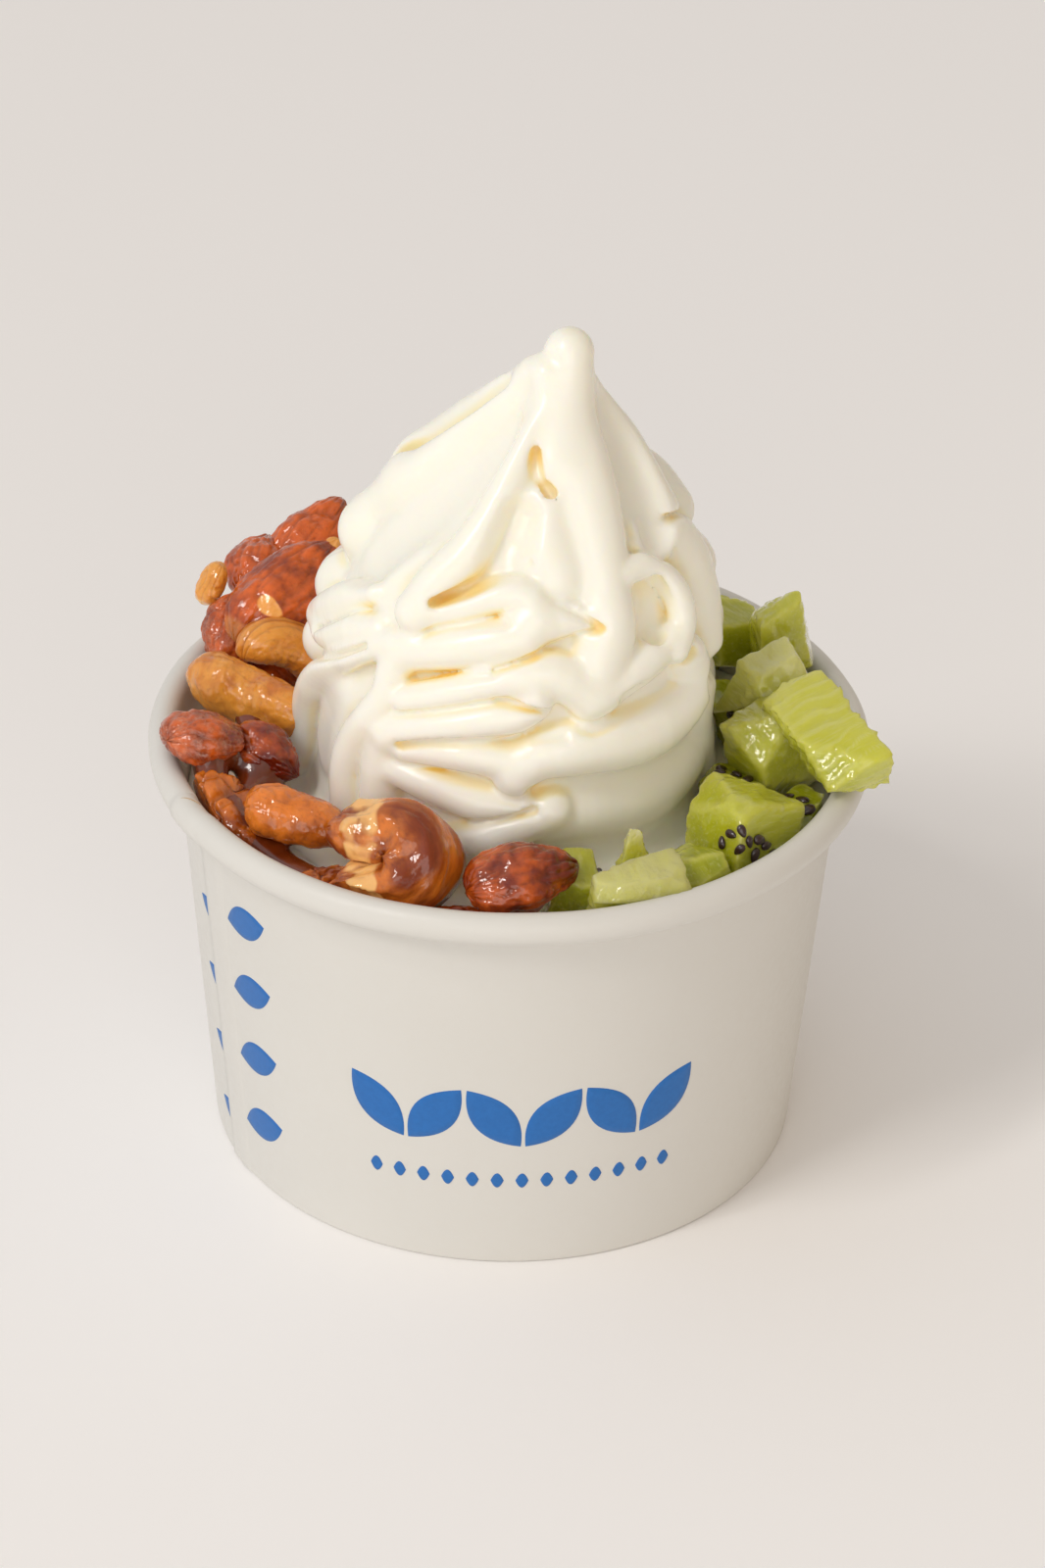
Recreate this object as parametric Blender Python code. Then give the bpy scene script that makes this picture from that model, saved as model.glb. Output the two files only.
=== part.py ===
"""Frozen yogurt cup: a paper cup with a rolled rim, filled with soft-served yogurt whose folded
swirl stands up out of it, with sugared nuts on one side of the swirl and cut kiwi on the other.

Sizes are named in millimetres and multiplied by MM where Blender takes them. The cup stands on
z = 0 with its axis on the z axis, and the swirl shows its best side towards -Y.
A place on the swirl is given by its turn, in degrees from the front (-Y) towards +X, and its
height; the distance from the axis then follows from the swirl's own profile.
"""

import math
import random

import bmesh
import bpy
from mathutils import Matrix, Vector, noise
from mathutils.bvhtree import BVHTree

MM = 0.001
GAP = 0.3

# Paper cup, 8 oz size
CUP_HEIGHT = 59.0
RIM_RADIUS = 47.5
BEAD_RADIUS = 1.9
BEAD_HALF_HEIGHT = 2.15
WALL_TOP_RADIUS = 43.6
FOOT_RADIUS = 39.0
PAPER = 0.5
FOOT_RING = 1.3
FLOOR_RECESS = 3.5
FLOOR_PAPER = 0.6
CUP_SIDES = 48
BEAD_STEPS = 9
BEAD_STARTS_AT = -118.0
BEAD_ENDS_AT = 180.0
WALL_INTO_BEAD = 3.0

# Yogurt
FILL_LEVEL_AT_WALL = 49.0
FILL_LEVEL_AT_SWIRL = 51.0
FILL_SWELL = 0.3
SWIRL_FOOT = 45.0
SWIRL_PROFILE = (  # height, radius of the swirl's outermost folds
    (45.0, 30.0),
    (56.0, 28.0),
    (72.0, 27.5),
    (80.0, 25.5),
    (86.0, 23.3),
    (92.0, 19.5),
    (98.0, 15.0),
    (104.0, 9.7),
    (110.0, 5.3),
    (114.0, 4.0),
    (116.5, 2.4),
    (117.2, 0.6),
)
SWIRL_LEAN = (  # height, how far the swirl's middle lies towards +X
    (45.0, -0.4),
    (64.0, -0.4),
    (80.0, 1.1),
    (96.0, 2.2),
    (110.0, 4.6),
    (117.2, 6.6),
)
CORE_DEPTH = 3.4
CORE_SIDES = 40
CORE_STEP = 3.0
SWIRL_VOXEL = 1.1
SWIRL_SMOOTHING = 3
SWIRL_KEPT_SHARE = 0.11
STRAND_STEP = 1.5
STRAND_SUNK = 0.8

# Folds of the swirl: name, radius of the fold, and (turn, height) along its crest
FRONT_FOLDS = (
    ("tip", 3.9, ((10, 116.2), (10, 112), (12, 106))),
    ("left_pleat", 3.4, ((-80, 112), (-96, 105), (-100, 98), (-101, 91), (-100, 84), (-97, 79))),
    ("front_pleat", 3.0, ((-30, 113), (-20, 106), (-22, 100), (-26, 94), (-36, 90), (-41, 85))),
    ("right_pleat", 4.6, ((18, 113), (29, 106), (33, 99), (32, 92), (30, 84), (27, 79))),
    ("upper_hairpin", 2.5, ((-36, 86), (-20, 88), (-4, 90), (3, 88), (-5, 85), (-30, 83),
                            (-40, 79), (-44, 72), (-51, 66), (-52, 57))),
    ("lower_hairpin", 2.5, ((-34, 75), (-16, 78), (-2, 80), (4, 78), (-2, 75), (-18, 73),
                            (-34, 70), (-36, 64), (-36, 56))),
    ("left_lobe", 3.0, ((-97, 74), (-82, 77), (-62, 80), (-46, 82))),
    ("lower_left_lobe", 3.0, ((-88, 65), (-78, 70), (-62, 76), (-48, 80))),
    ("left_lip", 3.0, ((-90, 58), (-76, 60), (-64, 66), (-58, 72))),
    ("curl", 2.1, ((40, 91), (51, 91), (60, 87), (61, 82), (53, 79), (42, 80), (34, 84))),
    ("middle_coil", 4.6, ((60, 76), (60, 71), (46, 69), (28, 70), (12, 70), (2, 67))),
    ("front_band", 3.2, ((-30, 68), (-16, 66), (-4, 65), (4, 65))),
    ("right_skirt", 4.0, ((74, 58), (60, 60), (40, 60), (20, 60), (4, 60))),
    ("front_flap", 3.4, ((14, 62), (0, 59), (-16, 57), (-34, 55))),
    ("rear_left_pleat", 4.2, ((-120, 110), (-132, 104), (-128, 97), (-120, 90))),
    ("rear_right_pleat", 4.4, ((92, 113), (106, 107), (108, 101), (104, 96), (92, 91))),
    ("right_lobe", 5.0, ((80, 93), (94, 89), (97, 82), (94, 75), (86, 69))),
    ("right_lip", 4.0, ((98, 72), (92, 66), (86, 60), (80, 55))),
)
# The far side winds on in level coils, each lobed by the nozzle's star
BACK_COIL_HEIGHTS = (57.0, 65.5, 74.0, 82.5, 91.0)
BACK_COIL_RADIUS = 4.4
BACK_COIL_TURNS = (112.0, 252.0)
BACK_COIL_RISE = 5.0
BACK_COIL_LOBES = 9
BACK_COIL_LOBE_DEPTH = 0.9

NUT_SIDES = 10
NUT_RINGS = 7
FOLDED_NUT_RINGS = 15
ALMOND_SKIN = (0.26, 0.06, 0.02)
CASHEW_TAN = (0.52, 0.25, 0.09)
CARAMEL = (0.42, 0.15, 0.03)

BENT_SHARE = {"almond": 1.0, "cashew": 1.0, "folded": 0.4, "walnut": 1.0}

# name, kind, middle (x, y, z), length, width, thickness, bend, heading, pitch, roll in degrees
NUTS = (
    ("almond_back_top", "almond", (-27.4, 33.2, 67.0), 15.5, 9.0, 7.2, 0, 55, 26, 20),
    ("almond_back_left", "almond", (-34.6, 28.5, 65.6), 11.5, 8.5, 7.0, 0, 80, 20, 0),
    ("almond_high", "almond", (-30.4, 20.5, 66.2), 20.5, 11.0, 8.5, 0, 45, 24, 35),
    ("nut_chip", "cashew", (-40.3, 22.5, 66.0), 6.6, 4.0, 3.2, 20, 20, 65, 0),
    ("almond_sugared", "almond", (-37.6, 17.5, 62.0), 11.0, 7.0, 6.0, 0, 80, 55, 0),
    ("cashew_small", "cashew", (-30.0, 13.5, 60.5), 14.0, 6.6, 6.0, 110, 60, 15, 60),
    ("cashew_big", "cashew", (-34.4, 3.0, 61.0), 18.5, 9.0, 7.6, 80, -28, -8, -60),
    ("almond_on_rim", "almond", (-39.7, -9.0, 61.4), 11.5, 9.2, 7.2, 0, 30, -10, 0),
    ("almond_dark", "almond", (-31.7, -7.5, 58.0), 11.0, 7.6, 6.6, 0, -30, -20, 0),
    ("caramel_left", "walnut", (-36.2, -17.8, 54.8), 16.0, 8.6, 7.6, 20, -50, -14, 0),
    ("caramel_bit", "walnut", (-30.4, -13.5, 52.8), 7.0, 5.0, 4.6, 0, 10, 0, 0),
    ("caramel_cashew", "cashew", (-27.0, -23.0, 58.0), 14.0, 7.2, 6.6, 40, -15, -8, 20),
    ("caramel_large", "folded", (-11.8, -33.6, 59.6), 28.0, 8.0, 8.4, 178, 90, 50, 176),
    ("caramel_crumb", "walnut", (-23.2, -33.0, 54.6), 8.0, 6.0, 5.0, 0, 20, 0, 0),
    ("almond_front", "almond", (1.8, -36.8, 59.0), 15.5, 10.0, 8.5, 0, 20, 4, 0),
    ("almond_sliver", "almond", (-6.2, -39.0, 53.6), 9.0, 5.0, 3.4, 0, 5, 0, 0),
    ("almond_deep_left", "almond", (-32.6, 20.6, 54.6), 13.0, 8.5, 6.6, 0, 125, 0, 0),
    ("almond_deep_back", "almond", (-27.0, 29.5, 57.5), 14.0, 9.0, 7.6, 0, 150, 0, 0),
    ("cashew_deep_back", "cashew", (-14.6, 34.2, 54.0), 15.0, 7.4, 6.2, 60, 165, 0, 0),
    ("almond_rear", "almond", (-15.5, 35.0, 62.4), 16.0, 9.0, 7.0, 0, 160, 6, 0),
    ("cashew_deep_left", "cashew", (-32.2, 4.5, 53.0), 12.0, 6.4, 5.6, 40, 95, 0, 0),
)

KIWI_BEVEL = 1.1
KIWI_UNEVEN = 0.10
KIWI_GREEN = (0.33, 0.44, 0.05)
# name, middle (x, y, z), size (x, y, z), heading, pitch, roll in degrees
KIWI = (
    ("kiwi_upper", (36.0, 14.5, 65.0), (8.6, 8.4, 12.0), 10, 8, 12),
    ("kiwi_rear", (29.5, 22.5, 60.0), (8.4, 8.0, 8.4), 40, 10, 0),
    ("kiwi_seeded_rear", (30.6, 12.4, 54.2), (8.0, 8.0, 7.6), 20, 0, 10),
    ("kiwi_pale_top", (32.8, 3.5, 63.6), (10.2, 9.0, 6.4), 20, 10, -10),
    ("kiwi_middle", (34.3, -6.0, 58.6), (10.4, 8.6, 12.0), 35, 18, -12),
    ("kiwi_over_rim", (41.3, -9.6, 64.2), (17.2, 8.6, 4.4), -56, -22, 18),
    ("kiwi_cube", (30.4, -22.0, 57.6), (11.6, 11.0, 9.4), -38, 6, -18),
    ("kiwi_flat", (29.0, -9.4, 54.4), (7.6, 8.0, 6.4), 10, 0, 0),
    ("kiwi_dark", (23.4, -30.6, 55.0), (8.6, 8.6, 8.0), 30, 0, -10),
    ("kiwi_pale_bar", (17.0, -37.4, 57.6), (12.4, 5.4, 7.0), 14, 0, 0),
    ("kiwi_sliver", (16.6, -31.0, 58.6), (4.2, 3.2, 8.0), 10, 0, 0),
    ("kiwi_left", (8.4, -32.6, 54.8), (6.4, 7.4, 7.0), 5, 0, 0),
    ("kiwi_rim_low", (38.0, -13.4, 53.4), (6.6, 7.4, 6.0), 40, 0, 0),
    ("kiwi_rim_rear", (38.4, 4.0, 54.4), (6.6, 8.0, 7.0), 5, 0, 0),
    ("kiwi_deep_right", (36.6, 17.5, 53.4), (6.6, 8.6, 6.4), 30, 0, 0),
    ("kiwi_back_right", (24.5, 31.0, 54.6), (9.4, 9.0, 9.0), 35, 0, 8),
    ("kiwi_back", (11.6, 36.0, 54.8), (10.0, 8.4, 8.4), -15, 6, 0),
    ("kiwi_back_left", (0.4, 35.6, 54.0), (8.4, 7.6, 7.4), 5, 0, 0),
    ("kiwi_back_high", (18.4, 33.4, 64.0), (9.0, 8.0, 7.4), -25, 10, 10),
)


def clear_scene():
    for obj in list(bpy.data.objects):
        bpy.data.objects.remove(obj, do_unlink=True)


def plain_material(name, colour, roughness, metallic=0.0):
    material = bpy.data.materials.new(name)
    material.use_nodes = True
    shader = material.node_tree.nodes["Principled BSDF"]
    shader.inputs["Base Color"].default_value = (*colour, 1.0)
    shader.inputs["Roughness"].default_value = roughness
    shader.inputs["Metallic"].default_value = metallic
    return material


def object_from(bm, name, material=None):
    """The bmesh as a new object, its faces turned outwards."""
    bmesh.ops.recalc_face_normals(bm, faces=bm.faces)
    mesh = bpy.data.meshes.new(name)
    bm.to_mesh(mesh)
    bm.free()
    mesh.shade_smooth()
    mesh.set_sharp_from_angle(angle=math.radians(40))
    obj = bpy.data.objects.new(name, mesh)
    bpy.context.scene.collection.objects.link(obj)
    if material:
        mesh.materials.append(material)
    return obj


def as_helper(obj):
    obj.hide_render = True
    obj.display_type = "WIRE"
    return obj


def turned(profile, sides):
    """A bmesh turned about z from a closed outline of (radius, height) points."""
    bm = bmesh.new()
    corners = [bm.verts.new((r * MM, 0.0, z * MM)) for r, z in profile]
    edges = [bm.edges.new(pair) for pair in zip(corners, corners[1:])]
    if profile[0][0] > 0.0:
        edges.append(bm.edges.new((corners[-1], corners[0])))
    bmesh.ops.spin(
        bm,
        geom=corners + edges,
        axis=(0.0, 0.0, 1.0),
        cent=(0.0, 0.0, 0.0),
        angle=math.tau,
        steps=sides,
    )
    bmesh.ops.remove_doubles(bm, verts=bm.verts, dist=0.001 * MM)
    return bm


def between(table, height):
    """A value read from a table of (height, value) rows, in a straight line from row to row."""
    if height <= table[0][0]:
        return table[0][1]
    for (low, first), (high, second) in zip(table, table[1:]):
        if height <= high:
            share = (height - low) / (high - low)
            return first + (second - first) * share
    return table[-1][1]


def wall_radius(height):
    """Outside radius of the paper wall at a height."""
    wall_top = CUP_HEIGHT - 2.0 * BEAD_HALF_HEIGHT
    return FOOT_RADIUS + (WALL_TOP_RADIUS - FOOT_RADIUS) * height / wall_top


def build_cup():
    """Tapered paper wall with a rolled rim, a recessed floor and the ring that it stands on."""
    bead_middle = (RIM_RADIUS - BEAD_RADIUS, CUP_HEIGHT - BEAD_HALF_HEIGHT)
    bead = []
    for step in range(BEAD_STEPS + 1):
        # From under the roll's outer side, over its top, to the inside of the wall
        share = step / BEAD_STEPS
        angle = math.radians(BEAD_STARTS_AT + (BEAD_ENDS_AT - BEAD_STARTS_AT) * share)
        bead.append(
            (
                bead_middle[0] + BEAD_RADIUS * math.cos(angle),
                bead_middle[1] + BEAD_HALF_HEIGHT * math.sin(angle),
            )
        )
    floor_top = FLOOR_RECESS + FLOOR_PAPER
    bead_foot = bead[0][1] + 0.1 * BEAD_RADIUS
    inside_top = bead_middle[1] - WALL_INTO_BEAD
    outline = [
        (0.0, FLOOR_RECESS),
        (FOOT_RADIUS - FOOT_RING, FLOOR_RECESS),
        (FOOT_RADIUS - FOOT_RING, 0.0),
        (FOOT_RADIUS, 0.0),
        (wall_radius(bead_foot), bead_foot),
        *bead,
        (wall_radius(inside_top) - PAPER, inside_top),
        (wall_radius(floor_top) - PAPER, floor_top),
        (0.0, floor_top),
    ]
    cup = object_from(turned(outline, CUP_SIDES), "cup")
    cup.data.materials.append(plain_material("cup_paper", (0.79, 0.76, 0.71), 0.45))
    return cup


def on_swirl(turn, height, proud=0.0):
    """The point at a turn and height, this far out from the swirl's outermost folds."""
    angle = math.radians(turn)
    radius = between(SWIRL_PROFILE, height) + proud
    return Vector(
        (
            between(SWIRL_LEAN, height) + radius * math.sin(angle),
            -radius * math.cos(angle),
            height,
        )
    )


def smooth_route(points, step):
    """Points about a step apart on a Catmull-Rom curve through the given points."""
    ends = [points[0] * 2 - points[1], *points, points[-1] * 2 - points[-2]]
    route = []
    for a, b, c, d in zip(ends, ends[1:], ends[2:], ends[3:]):
        pieces = max(2, round((c - b).length / step))
        for piece in range(pieces):
            t = piece / pieces
            route.append(
                0.5
                * (
                    2.0 * b
                    + (c - a) * t
                    + (2.0 * a - 5.0 * b + 4.0 * c - d) * t**2
                    + (3.0 * b - 3.0 * c + d - a) * t**3
                )
            )
    route.append(points[-1])
    return route


def fold_mesh(name, route, radii):
    """A round fold along a route, tapering to rounded ends, as a mesh."""
    curve = bpy.data.curves.new(name, "CURVE")
    curve.dimensions = "3D"
    curve.bevel_depth = MM
    curve.bevel_resolution = 3
    curve.use_fill_caps = True
    spline = curve.splines.new("POLY")
    spline.points.add(len(route) - 1)
    last = len(route) - 1
    for index, (point, radius) in enumerate(zip(route, radii)):
        from_end = min(index, last - index) * STRAND_STEP
        round_off = min(1.0, (from_end + 0.3) / radius)
        spline.points[index].co = (*(point * MM), 1.0)
        spline.points[index].radius = radius * math.sqrt(1.0 - (1.0 - round_off) ** 2)
    obj = bpy.data.objects.new(name, curve)
    bpy.context.scene.collection.objects.link(obj)
    mesh = bpy.data.meshes.new_from_object(obj.evaluated_get(bpy.context.evaluated_depsgraph_get()))
    bpy.data.objects.remove(obj, do_unlink=True)
    return mesh


def front_fold_meshes():
    for name, radius, places in FRONT_FOLDS:
        route = [on_swirl(turn, height, -STRAND_SUNK * radius) for turn, height in places]
        route = smooth_route(route, STRAND_STEP)
        yield fold_mesh(name, route, [radius] * len(route))


def back_coil_meshes():
    """Level coils round the far side, their radius waving with the nozzle's lobes."""
    start, end = BACK_COIL_TURNS
    for level, height in enumerate(BACK_COIL_HEIGHTS):
        reach = between(SWIRL_PROFILE, height)
        fold_radius = min(BACK_COIL_RADIUS, 0.5 * reach)
        steps = max(12, round(math.radians(end - start) * reach / STRAND_STEP))
        route = []
        radii = []
        for step in range(steps + 1):
            share = step / steps
            turn = start + (end - start) * share
            rise = BACK_COIL_RISE * (share - 0.5)
            route.append(on_swirl(turn, height + rise, -STRAND_SUNK * fold_radius))
            lobe = math.cos(math.radians(BACK_COIL_LOBES * turn + 70.0 * level))
            radii.append(fold_radius + BACK_COIL_LOBE_DEPTH * lobe)
        yield fold_mesh(f"back_coil_{level}", route, radii)


def build_swirl():
    """Core, folds and far coils, remeshed into one closed skin."""
    heights = [SWIRL_FOOT]
    top = SWIRL_PROFILE[-1][0]
    while heights[-1] < top - CORE_STEP:
        heights.append(heights[-1] + CORE_STEP)
    heights[-1] = top - 0.5
    bm = bmesh.new()
    rings = []
    for height in heights:
        sunk = min(CORE_DEPTH, 0.35 * between(SWIRL_PROFILE, height))
        rings.append(
            [
                bm.verts.new(on_swirl(360.0 * side / CORE_SIDES, height, -sunk) * MM)
                for side in range(CORE_SIDES)
            ]
        )
    for lower, upper in zip(rings, rings[1:]):
        for side in range(CORE_SIDES):
            following = (side + 1) % CORE_SIDES
            bm.faces.new((lower[side], lower[following], upper[following], upper[side]))
    bm.faces.new(rings[0][::-1])
    bm.faces.new(rings[-1])
    for mesh in [*front_fold_meshes(), *back_coil_meshes()]:
        bm.from_mesh(mesh)
        bpy.data.meshes.remove(mesh)
    swirl = object_from(bm, "swirl")
    remesh = swirl.modifiers.new("One skin", "REMESH")
    remesh.mode = "VOXEL"
    remesh.voxel_size = SWIRL_VOXEL * MM
    smooth = swirl.modifiers.new("Soft", "SMOOTH")
    smooth.iterations = SWIRL_SMOOTHING
    decimate = swirl.modifiers.new("Lighter", "DECIMATE")
    decimate.ratio = SWIRL_KEPT_SHARE
    return as_helper(swirl)


def build_yogurt():
    """The fill in the cup, with the swirl joined on by a Boolean."""
    bottom = FLOOR_RECESS + FLOOR_PAPER + GAP
    swirl_reach = SWIRL_PROFILE[0][1]
    middle_level = 0.5 * (FILL_LEVEL_AT_WALL + FILL_LEVEL_AT_SWIRL)
    outline = [
        (0.0, bottom),
        (wall_radius(bottom) - PAPER - GAP, bottom),
        (wall_radius(FILL_LEVEL_AT_WALL) - PAPER - GAP, FILL_LEVEL_AT_WALL),
        (0.5 * (WALL_TOP_RADIUS + swirl_reach), middle_level + FILL_SWELL),
        (swirl_reach - CORE_DEPTH, FILL_LEVEL_AT_SWIRL),
        (0.0, FILL_LEVEL_AT_SWIRL),
    ]
    yogurt = object_from(turned(outline, CUP_SIDES), "yogurt")
    yogurt.data.materials.append(plain_material("yogurt", (0.90, 0.85, 0.72), 0.28))
    join = yogurt.modifiers.new("Swirl", "BOOLEAN")
    join.operation = "UNION"
    join.object = build_swirl()
    return yogurt


def turned_to(heading, pitch, roll):
    return (
        Matrix.Rotation(math.radians(heading), 4, "Z")
        @ Matrix.Rotation(math.radians(-pitch), 4, "Y")
        @ Matrix.Rotation(math.radians(roll), 4, "X")
    )


def nut_mesh(kind, length, width, thickness, bend, seed):
    """A nut along x, bent in the x-y plane by this many degrees from end to end.

    Each kind has its own outline: an almond comes to a point, a cashew is even with blunt ends, a
    folded one is a cashew that bends in its middle only, and a walnut piece is lumpy.
    """
    bm = bmesh.new()
    bmesh.ops.create_uvsphere(
        bm,
        u_segments=NUT_SIDES,
        v_segments=FOLDED_NUT_RINGS if kind == "folded" else NUT_RINGS,
        radius=1.0,
        matrix=Matrix.Rotation(math.radians(90.0), 4, "Y"),
    )
    arc = math.radians(bend)
    straight = 0.5 * length * (1.0 - BENT_SHARE[kind])
    radius = (length - 2.0 * straight) / arc if bend else 0.0
    lumps = Vector((seed * 3.7, seed * 1.3, 0.0))
    for vert in bm.verts:
        along, across, up = vert.co
        if kind == "almond":
            swell = 1.0 - 0.22 * along - 0.10 * along * along
        elif kind in ("cashew", "folded"):
            swell = 1.0 + 0.16 * abs(along) - 0.12 * along
        else:
            swell = 1.0 + 0.5 * noise.noise(vert.co * 1.7 + lumps)
        x = 0.5 * length * along
        y = 0.5 * width * across * swell
        z = 0.5 * thickness * up * swell
        if bend:
            angle = max(-0.5 * arc, min(0.5 * arc, x / radius))
            past = x - angle * radius
            x = (radius + y) * math.sin(angle) + past * math.cos(angle)
            y = (radius + y) * math.cos(angle) - past * math.sin(angle)
            y -= radius * math.cos(0.35 * arc)
        vert.co = Vector((x, y, z)) * MM
    return bm


def build_nuts():
    looks = {
        "almond": plain_material("almond_skin", ALMOND_SKIN, 0.25),
        "cashew": plain_material("cashew", CASHEW_TAN, 0.35),
        "folded": plain_material("caramel_cashew", CARAMEL, 0.2),
        "walnut": plain_material("caramel", CARAMEL, 0.2),
    }
    nuts = []
    for number, row in enumerate(NUTS):
        name, kind, middle, length, width, thickness, bend, heading, pitch, roll = row
        bm = nut_mesh(kind, length, width, thickness, bend, number)
        place = Matrix.Translation(Vector(middle) * MM) @ turned_to(heading, pitch, roll)
        bmesh.ops.transform(bm, matrix=place, verts=bm.verts)
        nuts.append(object_from(bm, name, looks[kind]))
    return nuts


def build_kiwi():
    look = plain_material("kiwi_flesh", KIWI_GREEN, 0.2)
    chunks = []
    for number, (name, middle, size, heading, pitch, roll) in enumerate(KIWI):
        chance = random.Random(number)
        bm = bmesh.new()
        bmesh.ops.create_cube(bm, size=1.0)
        for vert in bm.verts:
            for axis in range(3):
                slip = 1.0 + KIWI_UNEVEN * chance.uniform(-1.5, 1.0)
                vert.co[axis] *= size[axis] * slip * MM
        bmesh.ops.bevel(
            bm, geom=bm.edges, offset=KIWI_BEVEL * MM, segments=1, profile=0.5,
            affect="EDGES", clamp_overlap=True,
        )
        place = Matrix.Translation(Vector(middle) * MM) @ turned_to(heading, pitch, roll)
        bmesh.ops.transform(bm, matrix=place, verts=bm.verts)
        bmesh.ops.triangulate(bm, faces=bm.faces)
        chunks.append(object_from(bm, name, look))
    return chunks


def grown_copy(obj):
    """A hidden copy of a piece, larger by the gap on every side, that cuts room for the piece."""
    bm = bmesh.new()
    bm.from_mesh(obj.data)
    bm.normal_update()
    moved = [vert.co + vert.normal * GAP * MM * vert.calc_shell_factor() for vert in bm.verts]
    for vert, place in zip(bm.verts, moved):
        vert.co = place
    return as_helper(object_from(bm, obj.name + "_room"))


def tree_of(obj):
    bm = bmesh.new()
    bm.from_mesh(obj.data)
    tree = BVHTree.FromBMesh(bm)
    bm.free()
    return tree


def cut_room(piece, room):
    cut = piece.modifiers.new("Room for " + room.name.removesuffix("_room"), "BOOLEAN")
    cut.operation = "DIFFERENCE"
    cut.object = room


def keep_largest_body(obj):
    """Applies the piece's cuts, and drops any crumb that they left beside it."""
    graph = bpy.context.evaluated_depsgraph_get()
    bm = bmesh.new()
    bm.from_mesh(obj.evaluated_get(graph).data)
    waiting = set(bm.verts)
    bodies = []
    while waiting:
        body = set()
        reached = [waiting.pop()]
        while reached:
            vert = reached.pop()
            body.add(vert)
            for edge in vert.link_edges:
                other = edge.other_vert(vert)
                if other in waiting:
                    waiting.remove(other)
                    reached.append(other)
        bodies.append(body)
    largest = max(bodies, key=len)
    crumbs = [vert for body in bodies if body is not largest for vert in body]
    bmesh.ops.delete(bm, geom=crumbs, context="VERTS")
    obj.modifiers.clear()
    bm.to_mesh(obj.data)
    bm.free()


def fit_together(yogurt, toppings):
    """Cuts each topping's room out of the yogurt, and out of the toppings named after it."""
    rooms = [grown_copy(topping) for topping in toppings]
    trees = [tree_of(topping) for topping in toppings]
    room_trees = [tree_of(room) for room in rooms]
    for later, topping in enumerate(toppings):
        for earlier in range(later):
            if trees[later].overlap(room_trees[earlier]):
                cut_room(topping, rooms[earlier])
    for topping in toppings:
        if topping.modifiers:
            keep_largest_body(topping)
    for room in rooms:
        cut_room(yogurt, room)


def main():
    clear_scene()
    cup = build_cup()
    yogurt = build_yogurt()
    toppings = [*build_nuts(), *build_kiwi()]
    room_for_cup = grown_copy(cup)
    cup_tree = tree_of(room_for_cup)
    for topping in toppings:
        if tree_of(topping).overlap(cup_tree):
            cut_room(topping, room_for_cup)
    fit_together(yogurt, toppings)


main()
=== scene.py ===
# %% [markdown]
# # A frozen yogurt cup
# The real thing is a paper cup with a rolled rim, filled with soft-served yogurt. Its folded swirl
# stands up out of the cup, with sugared nuts on one side of it and cut kiwi on the other.
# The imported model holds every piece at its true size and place, so it is loaded first and nothing in
# it moves. Each piece then gets a finer surface in the same place, worked out with numpy.

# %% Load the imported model
import math

import bpy
import numpy as np
from mathutils import Matrix, Vector


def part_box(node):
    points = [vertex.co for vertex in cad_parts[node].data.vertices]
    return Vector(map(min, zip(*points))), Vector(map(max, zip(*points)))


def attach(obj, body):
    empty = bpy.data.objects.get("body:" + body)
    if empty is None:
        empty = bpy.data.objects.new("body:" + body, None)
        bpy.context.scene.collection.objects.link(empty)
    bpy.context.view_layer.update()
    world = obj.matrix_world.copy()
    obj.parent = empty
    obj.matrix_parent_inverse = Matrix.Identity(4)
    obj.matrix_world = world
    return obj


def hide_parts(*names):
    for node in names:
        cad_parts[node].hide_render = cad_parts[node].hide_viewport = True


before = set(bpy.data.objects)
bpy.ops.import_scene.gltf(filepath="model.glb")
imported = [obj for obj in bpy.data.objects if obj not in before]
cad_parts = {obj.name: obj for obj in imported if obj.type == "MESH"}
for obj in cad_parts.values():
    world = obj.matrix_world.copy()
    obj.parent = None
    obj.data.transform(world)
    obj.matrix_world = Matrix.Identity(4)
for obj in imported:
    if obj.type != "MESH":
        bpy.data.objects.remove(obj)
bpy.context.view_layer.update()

MM = 0.001

# %% [markdown]
# ## Camera, floor and light
# Food is usually photographed from a little above with a long lens, so that the cup keeps its shape
# and the swirl stands against a plain floor. One large soft lamp high on the left gives the long
# gentle shading on the folds, and a pale sky fills the shadow side. A plain view of the colours,
# without a film curve, keeps white paper and white yogurt as bright as they are.

# %% Camera
CAMERA_PLACE = Vector((0.0, -0.62960, 0.44755))
CAMERA_LOOKS_AT = Vector((0.0018, 0.0, 0.0496))
CAMERA_ROLL = math.radians(1.3245)
CAMERA_LENS = 129.36

camera_data = bpy.data.cameras.new("camera")
camera_data.lens = CAMERA_LENS
camera = bpy.data.objects.new("camera", camera_data)
aim = (CAMERA_LOOKS_AT - CAMERA_PLACE).to_track_quat("-Z", "Y").to_matrix().to_4x4()
camera.matrix_world = Matrix.Translation(CAMERA_PLACE) @ aim @ Matrix.Rotation(CAMERA_ROLL, 4, "Z")
bpy.context.scene.collection.objects.link(camera)
bpy.context.scene.camera = camera
print("camera is", round((CAMERA_LOOKS_AT - CAMERA_PLACE).length, 3), "m from the cup")


# %% Colour helper
def shade(red, green, blue):
    """A colour given as seen on a screen, 0 to 255, as the linear red, green, blue, alpha of a node."""
    seen = np.array((red, green, blue)) / 255.0
    linear = np.where(seen <= 0.04045, seen / 12.92, ((seen + 0.055) / 1.055) ** 2.4)
    return (*map(float, linear), 1.0)


# %% Lamps and sky
KEY_SIZE = 0.75
SPARKLE_SIZE = 0.10
FILL_SIZE = 0.9


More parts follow.
